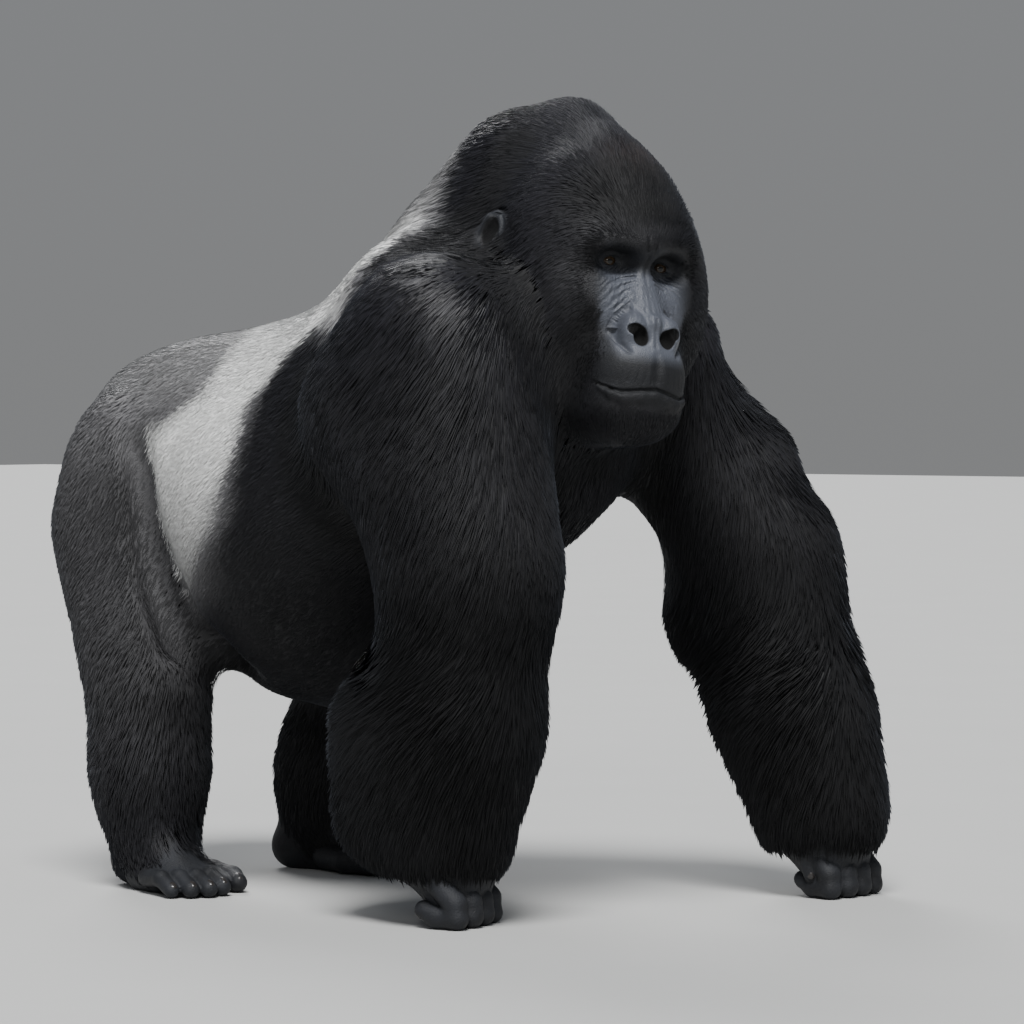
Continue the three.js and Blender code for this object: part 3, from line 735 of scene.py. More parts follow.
class Surface:
    """The frame's flesh nodes as one smooth skin-tight mesh, with the coat's values at each vertex."""

    VOXEL = 0.012
    ROUNDING_STEPS = 12
    FILLING_STEPS = 220
    LEAST_CREASE = 0.00025

    def __init__(self):
        merged = bmesh.new()
        owner = []
        for name in FLESH:
            merged.from_mesh(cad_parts[name].data)
            owner += [name] * (len(merged.faces) - len(owner))
        bmesh.ops.remove_doubles(merged, verts=merged.verts, dist=1e-6)
        mesh = bpy.data.meshes.new("body")
        merged.to_mesh(mesh)
        merged.free()
        solid_points, _, solid_triangles = mesh_arrays(mesh)
        body = bpy.data.objects.new("body", mesh)
        bpy.context.collection.objects.link(body)
        activate(body)
        mesh.remesh_voxel_size = self.VOXEL
        bpy.ops.object.voxel_remesh()
        self.object = body
        self.points, edges, self.triangles = mesh_arrays(body.data)
        self.web = Web(len(self.points), edges)
        self.round_off(self.ROUNDING_STEPS)
        self.fill_creases(self.FILLING_STEPS, self.LEAST_CREASE)
        self.points -= self.normals * groin(self.points)[:, None]
        self.normals = point_normals(self.points, self.triangles)
        self.label(solid_points, solid_triangles, owner)
        self.comb()

    def label(self, solid_points, solid_triangles, owner):
        """Finds the flesh node that each vertex lies on."""
        tree = tree_of(solid_points, solid_triangles)
        owner = np.array(owner)
        faces = [tree.find_nearest(p)[2] for p in self.points]
        self.names = owner[np.minimum(faces, len(owner) - 1)]

    def round_off(self, steps):
        """Smooths the surface, then swells it by what the smoothing took from its rounds."""
        rough = self.points
        self.points = self.web.spread(rough, steps, 0.5)
        self.normals = point_normals(self.points, self.triangles)
        lost = np.sum((rough - self.points) * self.normals, axis=1)
        lost = self.web.spread(np.maximum(lost, 0), 6)
        self.points = self.points + self.normals * lost[:, None]

    def fill_creases(self, steps, least):
        """Raises the bottoms of sharp creases, as long hair does that lies over them."""
        above = smoothstep(0.20, 0.30, self.points[:, 2])
        for k in range(steps):
            if k % 10 == 0:
                self.normals = point_normals(self.points, self.triangles)
            pull = np.sum((self.web.average(self.points) - self.points) * self.normals, axis=1)
            self.points = self.points + self.normals * (above * np.maximum(pull - least, 0))[:, None]
        self.normals = point_normals(self.points, self.triangles)

    def fit_face(self, on_head):
        """Puts the front of the head back on its form."""
        q = to_head(self.points)
        mine = self.web.spread(on_head.astype(float), 3) * smoothstep(105, 45, hairline(q))
        off = np.clip(base_head(q) * MM, -0.02, 0.02) * mine
        self.points = self.points - self.normals * off[:, None]
        self.normals = point_normals(self.points, self.triangles)

    def look_up(self, values, points):
        """The values at the nearest places on the surface."""
        faces = [self.tree.find_nearest(p)[2] for p in points.tolist()]
        return values[self.triangles[faces]].mean(axis=1)

    def comb(self):
        """Gives each vertex the coat's sizes and lie, and finds the skin below it."""
        kinds = np.array([kind(n) for n in self.names])
        on_head = np.isin(kinds, ("head", "ear"))
        self.fit_face(on_head)
        q = to_head(self.points)
        sizes = self.coat_sizes(kinds, on_head, q)
        way = unit(lie_of_coat(self.points, self.names))
        fields = self.web.spread(np.concatenate([sizes, way], axis=1), 36, 0.9)
        pull = np.sum((self.web.average(self.points) - self.points) * self.normals, axis=1)
        self.folded = smoothstep(0.00004, 0.00018, self.web.spread(np.maximum(pull, 0), 5))
        self.folded *= smoothstep(0.14, 0.08, self.points[:, 1])
        fields[:, 0] *= 1 - 0.75 * self.folded  # the coat lies close in the folds
        self.values = dict(zip(FIELDS, fields[:, :4].T))
        flow = fields[:, 4:]
        self.flow = unit(flow - self.normals * np.sum(flow * self.normals, axis=1, keepdims=True))
        self.cover = self.values["cover"] * self.furred(kinds, on_head, q)
        self.head = smoothstep(0.25, 0.75, self.web.spread(on_head.astype(float), 10))
        inner = self.normals * self.values["depth"][:, None]
        self.inner = self.web.spread(self.points - inner, 4, 0.5)

    def coat_sizes(self, kinds, on_head, q):
        """Depth, length, width and cover at each vertex, before they are spread."""
        sizes = np.array([[COAT[k][f] for f in FIELDS] for k in kinds])
        for side in SIDES:  # the coat hangs behind the forearm
            on = self.names == f"forearm_{side}"
            wrist, elbow = WRIST[side], ELBOW[side]
            bone = np.interp(self.points[on, 2], [wrist[2], elbow[2]], [wrist[1], elbow[1]])
            behind = smoothstep(0.0, 0.10, self.points[on, 1] - bone)
            sizes[on, 0] += 0.028 * behind
            sizes[on, 1] += 0.022 * behind
        sizes[on_head, 0] = MM * head_coat_depth(q[on_head])
        off_face = np.where(on_head, smoothstep(-8, 75, hairline(q)), 1.0)
        sizes[:, 1] *= 0.34 + 0.66 * off_face
        sizes[:, 2] *= 0.68 + 0.32 * off_face
        sizes[:, 3] *= 2.1 - 1.1 * off_face
        sizes[:, 1] *= 0.3 + 0.7 * smoothstep(1.0, 2.6, ear_reach(q))
        return sizes

    def furred(self, kinds, on_head, q):
        """1 where hair grows, and 0 on the face, ears, fingers, toes and soles."""
        face = np.where(on_head, smoothstep(-4, -22, hairline(q)), 0.0)
        sole = smoothstep(0.03, 0.012, self.points[:, 2])
        hands = self.web.spread((kinds == "hand").astype(float), 3)
        fingers = hands * smoothstep(0.10, 0.07, self.points[:, 2])
        ears = self.web.spread((kinds == "ear").astype(float), 1)
        hair = (1 - face) * (1 - sole) * (1 - fingers) * (1 - ears)
        hair = hair * smoothstep(1.0, 1.15, ear_reach(q))
        for side in SIDES:
            forwards = foot_place(side).inside(self.points)[:, 1]
            hair = hair * (1 - (self.names == f"foot_{side}") * smoothstep(88, 112, forwards))
        return hair


def activate(thing):
    """Makes one object the only one selected."""
    bpy.ops.object.select_all(action="DESELECT")
    thing.select_set(True)
    bpy.context.view_layer.objects.active = thing


# ---- Markings, the same on skin and coat, and painted shade of the coat --------------------------

# The front and rear edges of the silver saddle along the body at each height.
SADDLE_FRONT = (
    (0.36, 0.255), (0.45, 0.170), (0.56, 0.128), (0.67, 0.118), (0.75, 0.098),
    (0.80, 0.068), (0.84, 0.020), (0.88, -0.06), (0.96, -0.16),
)
SADDLE_REAR = (
    (0.36, 0.24), (0.48, 0.30), (0.58, 0.336), (0.66, 0.350),
    (0.70, 0.30), (0.74, 0.255), (0.80, 0.240), (0.86, 0.28),
)


def edge_at(path, z):
    """Where an edge of the markings is at each height."""
    heights, places = np.array(path).T
    return np.interp(z, heights, places)


def silver(points):
    """0 where the coat is black, about 0.45 on the grey rump, and 1 on the silver saddle, less where
    painted shade darkens the saddle lower down.
    """
    _, y, z = points.T
    wobble = 0.008 * ripple(points, 0.05, 5)
    start = y - edge_at(SADDLE_FRONT, z) + wobble
    top = smoothstep(0.64, 0.76, z)
    behind = behind_groin(points) + wobble
    below_end = smoothstep(0.004, -0.012, behind)
    top_end = smoothstep(0.035, -0.055, y - edge_at(SADDLE_REAR, z) + wobble)
    # painted shade: the saddle's silver darkens lower down the body
    fade = 0.62 + 0.38 * smoothstep(0.44, 0.74, z)
    soft = 0.026 + 0.075 * smoothstep(0.74, 0.45, z) + 0.030 * smoothstep(0.86, 0.98, z)
    fade = fade * (0.36 + 0.64 * smoothstep(1.06, 0.94, z)) * smoothstep(0.34, 0.50, z)
    saddle = fade * smoothstep(-0.4 * soft, soft, start) * (below_end * (1 - top) + top_end * top)
    rump = 0.20 + 0.30 * smoothstep(0.55, 0.80, z)
    rump = rump * smoothstep(-0.02, 0.02, y - edge_at(SADDLE_FRONT, z)) * smoothstep(0.30, 0.60, z)
    leg = 0.15 * smoothstep(0.20, 0.30, y) * smoothstep(0.10, 0.40, z)
    spine = 0.62 * smoothstep(0.82, 0.87, z) * smoothstep(-0.16, -0.06, y) * smoothstep(1.02, 0.94, z)
    return np.clip(np.maximum.reduce([saddle, rump, leg, spine]), 0, 1)


def painted_low_shade(points):
    """1 where the coat is painted in shade: low at the front (forearms and belly), on the insides of
    the limbs and in the fold behind the groin.
    """
    low = smoothstep(0.72, 0.40, points[:, 2])
    inner = smoothstep(0.24, 0.12, np.abs(points[:, 0] - MIDLINE))
    inner = inner * smoothstep(0.60, 0.42, points[:, 2])
    behind = behind_groin(points)
    fold = smoothstep(0.15, 0.02, behind) * (behind > -0.004) * smoothstep(0.70, 0.60, points[:, 2])
    front = low * smoothstep(0.25, 0.05, points[:, 1])
    return np.clip(np.maximum.reduce([front, inner, 0.9 * fold]), 0, 1)


def gloom(points):
    """1 on the front of the crown and round the face, where the coat is made darker."""
    q = to_head(points)
    crown = np.linalg.norm((q - np.array([0, -10, 80])) / np.array([104, 80, 60]), axis=1)
    round_face = smoothstep(60, 5, hairline(q)) * smoothstep(-40, -120, q[:, 2] - 40)
    return np.clip(smoothstep(1.15, 0.55, crown) + 0.3 * round_face, 0, 1)


def brown(points):
    """Reddish brown on the front of the crown."""
    q = to_head(points)
    near = np.linalg.norm((q - np.array([0, 60, 110])) / np.array([74, 110, 72]), axis=1)
    return 0.8 * smoothstep(1.0, 0.2, near)


# ---- Meshes --------------------------------------------------------------------------------------


def mesh_from(name, points, triangles):
    """A smooth-shaded mesh of triangles."""
    mesh = bpy.data.meshes.new(name)
    mesh.vertices.add(len(points))
    mesh.vertices.foreach_set("co", np.ascontiguousarray(points, np.float32).ravel())
    mesh.loops.add(len(triangles) * 3)
    mesh.loops.foreach_set("vertex_index", np.ascontiguousarray(triangles, np.int32).ravel())
    mesh.polygons.add(len(triangles))
    mesh.polygons.foreach_set("loop_start", np.arange(0, len(triangles) * 3, 3, dtype=np.int32))
    mesh.update(calc_edges=True)
    mesh.polygons.foreach_set("use_smooth", np.ones(len(triangles), bool))
    return mesh


def put_values(mesh, name, values):
    """Stores a number for each vertex, which the materials read."""
    layer = mesh.attributes.new(name, "FLOAT", "POINT")
    layer.data.foreach_set("value", np.ascontiguousarray(values, np.float32))


def finish_piece(piece, slot, nodes=()):
    """Parents a piece to the root body and hides the frame's nodes that it stands for."""
    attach(piece, "root")
    if nodes:
        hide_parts(*nodes)


# ---- Materials -----------------------------------------------------------------------------------


class Nodes:
    """Short ways to build a node tree."""

    def __init__(self, name):
        self.material = bpy.data.materials.new(name)
        self.material.use_nodes = True
        self.tree = self.material.node_tree
        self.shader = self.tree.nodes["Principled BSDF"]

    def add(self, kind, inputs=(), **settings):
        node = self.tree.nodes.new(kind)
        for key, value in settings.items():
            setattr(node, key, value)
        for key, value in dict(inputs).items():
            self.feed(node, key, value)
        return node

    def feed(self, node, key, value):
        socket = node.inputs[key]
        if isinstance(value, bpy.types.NodeSocket):
            self.tree.links.new(value, socket)
        else:
            socket.default_value = value

    def set(self, **values):
        for key, value in values.items():
            self.feed(self.shader, key.replace("_", " "), value)

    def attribute(self, name):
        return self.add("ShaderNodeAttribute", attribute_name=name).outputs["Fac"]

    def place(self):
        return self.add("ShaderNodeTexCoord").outputs["Object"]

    def noise(self, scale, detail=2.0, rough=0.5, vector=None):
        vector = self.place() if vector is None else vector
        inputs = {"Vector": vector, "Scale": scale, "Detail": detail, "Roughness": rough}
        return self.add("ShaderNodeTexNoise", inputs).outputs["Fac"]

    def math(self, operation, a, b=0.0):
        return self.add("ShaderNodeMath", {0: a, 1: b}, operation=operation).outputs[0]

    def line(self, value, slope, start):
        """start + slope * value"""
        inputs = {0: value, 1: slope, 2: start}
        return self.add("ShaderNodeMath", inputs, operation="MULTIPLY_ADD").outputs[0]

    def mix(self, factor, a, b):
        node = self.add("ShaderNodeMix", data_type="RGBA")
        for key, value in ((0, factor), (6, a), (7, b)):
            self.feed(node, key, value)
        return node.outputs[2]

    def ramp(self, factor, *stops):
        node = self.add("ShaderNodeValToRGB", {"Fac": factor})
        elements = node.color_ramp.elements
        while len(elements) < len(stops):
            elements.new(0.5)
        for element, (place, colour) in zip(elements, stops):
            element.position = place
            element.color = colour
        return node.outputs["Color"]

    def bump(self, height, strength, distance, normal=None):
        inputs = {"Height": height, "Strength": strength, "Distance": distance}
        if normal is not None:
            inputs["Normal"] = normal
        return self.add("ShaderNodeBump", inputs).outputs["Normal"]


def rgba(colour, factor=1.0):
    return (*[c * factor for c in colour[:3]], 1.0)


def coat_material(settings):
    """Black hair that turns grey and silver over the saddle, with a cool sheen; the shade attribute
    paints shade at the roots, low on the body and in folds, and light at the tips.
    """
    n = Nodes("coat")
    shade = n.attribute("shade")
    colour = n.ramp(
        n.attribute("silver"),
        (0.0, rgba(settings.black)),
        (0.42, rgba(settings.grey)),
        (1.0, rgba(settings.silver)),
    )
    colour = n.mix(n.attribute("brown"), colour, rgba(settings.brown))
    bright = n.add("ShaderNodeHueSaturation", {"Color": colour, "Value": shade}).outputs["Color"]
    rough = n.line(n.attribute("matt"), 0.40, 0.44)
    n.set(Base_Color=bright, Roughness=rough, Sheen_Weight=0.05, Sheen_Roughness=0.4)
    n.set(Sheen_Tint=(0.60, 0.68, 0.85, 1.0), Specular_IOR_Level=0.27)
    return n.material


def skin_material(settings):
    """Dark slate skin, creased and pored, with painted shade in its hollows and creases and a painted
    highlight on the brow ridge; below the coat it is close short hair in its colours.
    """
    n = Nodes("skin")
    patch = n.noise(26.0, 3.0)
    fine = n.noise(520.0, 3.0)
    # tone carries a painted highlight on the brow ridge and painted shade over the eyes and in the
    # creases
    tone = n.line(patch, 0.35, n.math("MULTIPLY", n.attribute("tone"), 0.75))
    bare = n.ramp(
        tone,
        (0.1, rgba(settings.skin, 0.3)),
        (0.5, rgba(settings.skin, 1.5)),
        (1.0, rgba(settings.skin, 3.6)),
    )
    turned = n.add("ShaderNodeMapping", {"Vector": n.place(), "Rotation": (math.radians(-50), 0, 0)})
    drawn = n.add("ShaderNodeMapping", {"Vector": turned.outputs[0], "Scale": (620.0, 620.0, 70.0)})
    hair = n.noise(1.0, 2.0, vector=drawn.outputs[0])
    under = n.ramp(
        n.attribute("silver"),
        (0.0, rgba(settings.black, 0.7)),
        (0.42, rgba(settings.grey, 0.85)),
        (1.0, rgba(settings.silver, 0.9)),
    )
    streak = n.line(hair, 1.1, 0.35)
    under = n.add("ShaderNodeHueSaturation", {"Color": under, "Value": streak}).outputs["Color"]
    colour = n.mix(n.attribute("bare"), under, bare)
    # painted shade: the nostrils, the gap between the lips and the ear bowls are painted near-black
    colour = n.mix(n.attribute("hollow"), colour, (0.0006, 0.0005, 0.0005, 1))
    inputs = {"Vector": n.place(), "Scale": 260.0}
    cracks = n.add("ShaderNodeTexVoronoi", inputs, feature="DISTANCE_TO_EDGE")
    crease = n.math("MINIMUM", cracks.outputs["Distance"], 0.12)
    grain = n.line(n.attribute("wrinkle"), 0.26, 0.12)
    pores = n.math("ADD", n.math("MULTIPLY", crease, grain), n.math("MULTIPLY", fine, 0.04))
    wander = n.math("MULTIPLY", n.noise(45.0, 3.0), 16.0)
    line = n.math("SINE", n.math("ADD", n.math("MULTIPLY", n.attribute("fan"), 62.0), wander))
    fanned = n.math("MULTIPLY", line, n.attribute("wrinkle"))
    pores = n.math("ADD", pores, n.math("MULTIPLY", fanned, 0.085))
    height = n.math("MULTIPLY", pores, n.attribute("bare"))
    height = n.math("ADD", height, n.math("MULTIPLY", hair, 0.25))
    normal = n.bump(height, 1.0, 0.004)
    glossy = n.math("MULTIPLY", n.math("MULTIPLY", n.attribute("bare"), n.attribute("tone")), -0.24)
    rough = n.math("ADD", n.line(patch, 0.2, 0.53), glossy)
    rough = n.math("MAXIMUM", rough, n.attribute("hollow"))
    n.set(Base_Color=colour, Roughness=rough, Normal=normal, Specular_IOR_Level=0.32)
    return n.material


def eye_material(settings):
    """Amber-brown iris round a black pupil in a dark white, under a wet surface."""
    n = Nodes("eye")
    out = n.attribute("out")
    rays = n.noise(900.0, 2.0)
    iris = n.mix(rays, rgba(settings.iris, 0.5), rgba(settings.iris, 1.6))
    rings = n.ramp(
        out,
        (0.0, (0.002, 0.002, 0.002, 1)),
        (0.22, (0.002, 0.002, 0.002, 1)),
        (0.26, (1, 1, 1, 1)),
        (0.54, (0.7, 0.7, 0.7, 1)),
        (0.64, (0.0, 0.0, 0.0, 1)),
    )
    inside = n.add("ShaderNodeMix", data_type="RGBA", blend_type="MULTIPLY")
    for key, value in ((0, 1.0), (6, iris), (7, rings)):
        n.feed(inside, key, value)
    white = n.ramp(out, (0.60, (0, 0, 0, 1)), (0.70, (1, 1, 1, 1)))
    colour = n.mix(white, inside.outputs[2], (0.030, 0.018, 0.012, 1))
    n.set(Base_Color=colour, Roughness=0.10, Specular_IOR_Level=0.35)
    return n.material


def nail_material(settings):
    """Nearly black horn with a fine grain."""
    n = Nodes("nail")
    grain = n.noise(300.0, 2.0)
    colour = n.mix(grain, (0.010, 0.009, 0.009, 1), rgba(settings.nail))
    n.set(Base_Color=colour, Roughness=0.28, Normal=n.bump(grain, 0.2, 0.0006))
    return n.material


def floor_material(settings):
    """Plain pale studio floor."""
    n = Nodes("floor")
    grain = n.noise(3.0, 4.0)
    colour = n.mix(grain, rgba(settings.floor, 0.97), rgba(settings.floor, 1.03))
    n.set(Base_Color=colour, Roughness=0.85)
    return n.material


MATERIALS = {}


def material(name, maker, settings):
    if name not in MATERIALS:
        MATERIALS[name] = maker(settings)
    return MATERIALS[name]


# ---- Skin ----------------------------------------------------------------------------------------


def refine(body, chosen):
    """Cuts the faces whose middles are chosen into quarters."""
    mesh = body.data
    middles = np.empty(len(mesh.polygons) * 3, np.float32)
    mesh.polygons.foreach_get("center", middles)
    picked = chosen(middles.reshape(-1, 3).astype(float))
    activate(body)
    bpy.ops.object.mode_set(mode="EDIT")
    bpy.ops.mesh.select_mode(type="FACE")
    bpy.ops.mesh.select_all(action="DESELECT")
    bpy.ops.object.mode_set(mode="OBJECT")
    mesh.polygons.foreach_set("select", picked)
    bpy.ops.object.mode_set(mode="EDIT")
    bpy.ops.mesh.subdivide(number_cuts=1)
    bpy.ops.object.mode_set(mode="OBJECT")


def press(points, form_at, web, strength, steps, reach):
    """Draws points onto a form and keeps them evenly spread; a strength of 0 leaves a point alone."""
    on = strength > 0
    step = 0.2
    offsets = np.eye(3) * step
    moved = points.copy()
    for k in range(steps):
        form = form_at(min(1.0, 1.4 * (k + 1) / steps))
        spread = web.average(moved)
        p = moved[on]
        d = form(p)
        slope = np.stack([form(p + o) - d for o in offsets], axis=1) / step
        size = np.maximum(np.sum(slope * slope, axis=1), 0.05)
        way = slope / np.sqrt(size)[:, None]
        pull = spread[on] - p
        pull -= way * np.sum(pull * way, axis=1, keepdims=True)
        ease = 0.45 if k < steps - 2 else 0.0
        go = np.clip(d / size, -reach, reach)
        p = p + ease * pull - slope * go[:, None]
        moved[on] = p
    return points + (moved - points) * strength[:, None]


HEAD_FRONT = ((-100, -130, -270), (100, 110, 90))
FACE_BOX = ((-84, -130, -215), (84, 34, 56))
FINE_BOXES = (
    ((-66, -130, -34), (66, 22, 24)),
    ((-62, -130, -140), (62, -14, -66)),
    ((-72, -130, -192), (72, -14, -160)),
)


def within(q, box):
    """Which points lie inside a box."""
    low, high = box
    return np.all((q > low) & (q < high), axis=1)


def make_skin(surface):
    """Turns the surface's own mesh into the skin, finest on the features of the face."""
    body = surface.object
    mesh = body.data
    mesh.vertices.foreach_set("co", surface.inner.astype(np.float32).ravel())
    put_values(mesh, "headness", surface.head)
    mesh.update()

    def by_ear(q, reach):
        return np.min([np.linalg.norm(q - e, axis=1) for e in EARS.values()], axis=0) < reach

    def around_face(p):
        q = to_head(p)
        return within(q, HEAD_FRONT) | by_ear(q, 52)

    def on_face(p):
        q = to_head(p)
        return within(q, FACE_BOX) | by_ear(q, 42)

    def on_features(p):
        q = to_head(p)
        return np.any([within(q, b) for b in FINE_BOXES], axis=0)

    refine(body, around_face)
    refine(body, on_face)
    settle(body, steps=14, opened=0.0)
    refine(body, on_features)
    settle(body, steps=18, opened=0.3)
    add_hands_and_feet(body)
    return body


def read_values(mesh, name):
    """The numbers that put_values stored."""
    values = np.empty(len(mesh.vertices), np.float32)
    mesh.attributes[name].data.foreach_get("value", values)
    return values.astype(float)


def net(form, low, high, step):
    """A closed mesh of a form's surface inside a box: one vertex in each small cell it crosses."""
    rulers = [np.arange(a, b, step) for a, b in zip(low, high)]
    grid = np.stack(np.meshgrid(*rulers, indexing="ij"), axis=-1)
    level = form(grid.reshape(-1, 3)).reshape(grid.shape[:3])
    size = np.array(level.shape)
    cells = size - 1
    cell_of, spots, quads = [], [], []
    for axis in range(3):
        first = np.moveaxis(level, axis, 0)[:-1]
        second = np.moveaxis(level, axis, 0)[1:]
        index = np.argwhere((first < 0) != (second < 0))
        a, b = first[tuple(index.T)], second[tuple(index.T)]
        others = [k for k in range(3) if k != axis]
        index = index[:, np.argsort([axis, *others])]
        spot = grid[tuple(index.T)] + (step * a / (a - b))[:, None] * np.eye(3)[axis]
        around = []
        for back, down in ((0, 0), (1, 0), (1, 1), (0, 1)):
            cell = index.copy()
            cell[:, others[0]] -= back
            cell[:, others[1]] -= down
            around.append(np.ravel_multi_index(cell.T, cells))
            cell_of.append(around[-1])
            spots.append(spot)
        quad = np.stack(around, axis=1)
        turned = (a >= 0) != (axis == 1)
        quad[turned] = quad[turned][:, ::-1]
        quads.append(quad)
    cell_of, spots, quads = np.concatenate(cell_of), np.concatenate(spots), np.concatenate(quads)
    used, number = np.unique(cell_of, return_inverse=True)
    many = np.bincount(number)
    points = np.stack([np.bincount(number, spots[:, k]) / many for k in range(3)], axis=1)
    quads = np.searchsorted(used, quads)
    for _ in range(3):
        d = form(points)
        slope = np.stack([form(points + o) - d for o in np.eye(3) * 0.2], axis=1) / 0.2
        steep = np.maximum(np.sum(slope * slope, axis=1), 0.2)
        points = points - slope * np.clip(d / steep, -step, step)[:, None]
    return points, np.concatenate([quads[:, [0, 1, 2]], quads[:, [0, 2, 3]]])


def limb_ends():
    """The name, place, form and box of each hand and foot."""
    for side in SIDES:
        yield f"hand_{side}", hand_place(side), hand_form(side), ((-100, -90, -20), (100, 90, 168)), 3.3
        yield f"foot_{side}", foot_place(side), foot_form(), ((-130, -110, -20), (110, 240, 178)), 3.9


def unite(body, piece):
    """Joins a closed piece to the body and removes it."""
    activate(body)
    union = body.modifiers.new("union", "BOOLEAN")
    union.operation = "UNION"
    union.solver = "MANIFOLD"
    union.object = piece
    bpy.ops.object.modifier_apply(modifier=union.name)
    bpy.data.objects.remove(piece)


def add_hands_and_feet(body):
    """Joins the surface of each hand and foot to the skin."""
    for name, place, form, (low, high), step in limb_ends():
        top = high[2] - 10

        def capped(p, form=form, top=top):
            return np.maximum(form(p), p[:, 2] - top)

        points, triangles = net(capped, low, high, step)
        points = place.outside(points)
        points[:, 2] = np.maximum(points[:, 2], 0.0)
        if np.linalg.det(place.axes) < 0:
            triangles = triangles[:, ::-1]
        piece = bpy.data.objects.new(name, mesh_from(name, points, triangles))
        bpy.context.collection.objects.link(piece)
        unite(body, piece)


def bare_ends(points):
    """1 on the fingers, toes and soles."""
    bare = np.zeros(len(points))
    for name, place, _, box, _ in limb_ends():
        q = place.inside(points)
        mine = within(q, box)
        if name.startswith("hand"):
            part = smoothstep(112, 84, q[:, 2])
        else:
            part = np.maximum(smoothstep(84, 112, q[:, 1]), smoothstep(36, 20, q[:, 2]))
        bare = np.maximum(bare, part * mine)
    return bare


def settle(body, steps, opened):
    """Presses the head onto its form."""
    mesh = body.data
    points, edges, _ = mesh_arrays(mesh)
    web = Web(len(points), edges)
    headness = read_values(mesh, "headness")

    def form_at(t):
        return make_head_form(max(t, opened))

    points = from_head(press(to_head(points), form_at, web, headness, steps, 6.0))
    mesh.vertices.foreach_set("co", points.astype(np.float32).ravel())
    mesh.update()


# ---- Coat ----------------------------------------------------------------------------------------


# A tuft's four points are its root, the two sides of its middle, and its tip.
TUFT_FACES = np.array([[0, 2, 1], [3, 1, 2], [0, 1, 3], [0, 3, 2]])
TUFT_PATCH = np.array([[0, -0.5], [-0.5, 0], [0.5, 0], [0, 0.5]]) * 0.003
HEM = 0.066  # the forearm's hair ends about this high above the floor
HEM_UNEVEN = 0.012


def scatter(surface, nodes, count, random, region):
    """Random places on some nodes' skin, thick or thin as the cover asks, and none on the bare face."""
    triangles = surface.triangles
    corners = surface.points[triangles]
    a, b = corners[:, 1] - corners[:, 0], corners[:, 2] - corners[:, 0]
    area = np.linalg.norm(np.cross(a, b), axis=1) / 2
    mine = np.isin(surface.names[triangles[:, 0]], nodes)
    total = np.cumsum(area * surface.cover[triangles].mean(axis=1) * mine)
    tries = int((2.8 if region else 1.3) * count)
    face = np.searchsorted(total, random.random(tries) * total[-1])
    a, b = random.random(tries), random.random(tries)
    flip = a + b > 1
    a[flip], b[flip] = 1 - a[flip], 1 - b[flip]
    blend = np.stack([1 - a - b, a, b], axis=1)
    corner = triangles[face]
    places = np.einsum("nk,nkd->nd", blend, surface.points[corner])
    on_head = surface.head[corner].mean(axis=1) > 0.5
    q = to_head(places)
    kept = random.random(tries) > bareness(q) * on_head
    if region:
        kept &= region(q)
    hairy = np.flatnonzero(kept)[:count]
    return corner[hairy], blend[hairy]


def lay_tufts(surface, at, seed, random):
    """The root, middle and tip of each tuft, the normals that shade them, and which tufts lie well."""
    outer, inner = at(surface.points), at(surface.inner)
    normal, flow = unit(at(surface.normals)), at(surface.flow)
    depth, length, width = (at(surface.values[f]) for f in ("depth", "length", "width"))
    count = len(outer)
    bare = smoothstep(26, -2, hairline(to_head(outer))) * (at(surface.head) > 0.5)
    length = length * (1 - 0.75 * bare) * (0.72 + 0.5 * random.random(count))
    width = width * (0.75 + 0.5 * random.random(count)) * (1 - 0.4 * bare)
    flow = unit(flow - normal * np.sum(flow * normal, axis=1, keepdims=True))
    side = np.cross(flow, normal)
    drawn = outer - 0.8 * flow * np.sum(outer * flow, axis=1, keepdims=True)
    turn = 0.10 * ripple(outer, 0.04, seed + 1) + 0.08 * ripple(drawn, 0.010, seed + 2)
    turn = turn + 0.05 * random.normal(size=count)
    flow = flow * np.cos(turn)[:, None] + side * np.sin(turn)[:, None]
    lift = 0.5 + 0.5 * random.random(count)
    lift = np.clip(lift + 0.14 * ripple(drawn, 0.012, seed + 3), 0.3, 1.05)

    centre, centre_normal, centre_flow = follow(surface, outer, normal, flow, length * 0.5)
    tip, tip_normal, _ = follow(surface, centre, centre_normal, centre_flow, length * 0.5)
    agree = np.sum(normal * tip_normal, axis=1)
    tip = centre + (tip - centre) * np.clip(agree + 0.3, 0.1, 1)[:, None]
    tip = tip - tip_normal * np.clip(depth * (1 - lift), -0.002, None)[:, None]
    centre = centre - centre_normal * np.clip(depth * (1 - 0.66 * lift), 0.0004, None)[:, None]
    root = inner - normal * 0.002
    across = unit(np.cross(unit(tip - root), centre_normal))
    half = across * (width / 2)[:, None]
    rise = np.sum((centre - (root + tip) / 2) * centre_normal, axis=1)
    most = np.maximum(0.16 * np.linalg.norm(tip - root, axis=1), width)
    centre = centre + centre_normal * (np.clip(rise, width * 0.4, most) - rise)[:, None]
    points = np.stack([root, centre - half, centre + half, tip], axis=1)

    lean = across * (0.22 + 0.40 * longness(length))
    facing = unit(normal + centre_normal + tip_normal)
    shown = unit(np.stack([facing, facing - lean, facing + lean, facing], axis=1))
    clear = np.minimum(ear_reach(to_head(centre)), ear_reach(to_head(tip))) > 1.0
    return points, shown, length, clear & (agree > 0.0)


def longness(length):
    """0 for the short coat and 1 for the long, as a column."""
    return smoothstep(0.015, 0.055, length)[:, None]


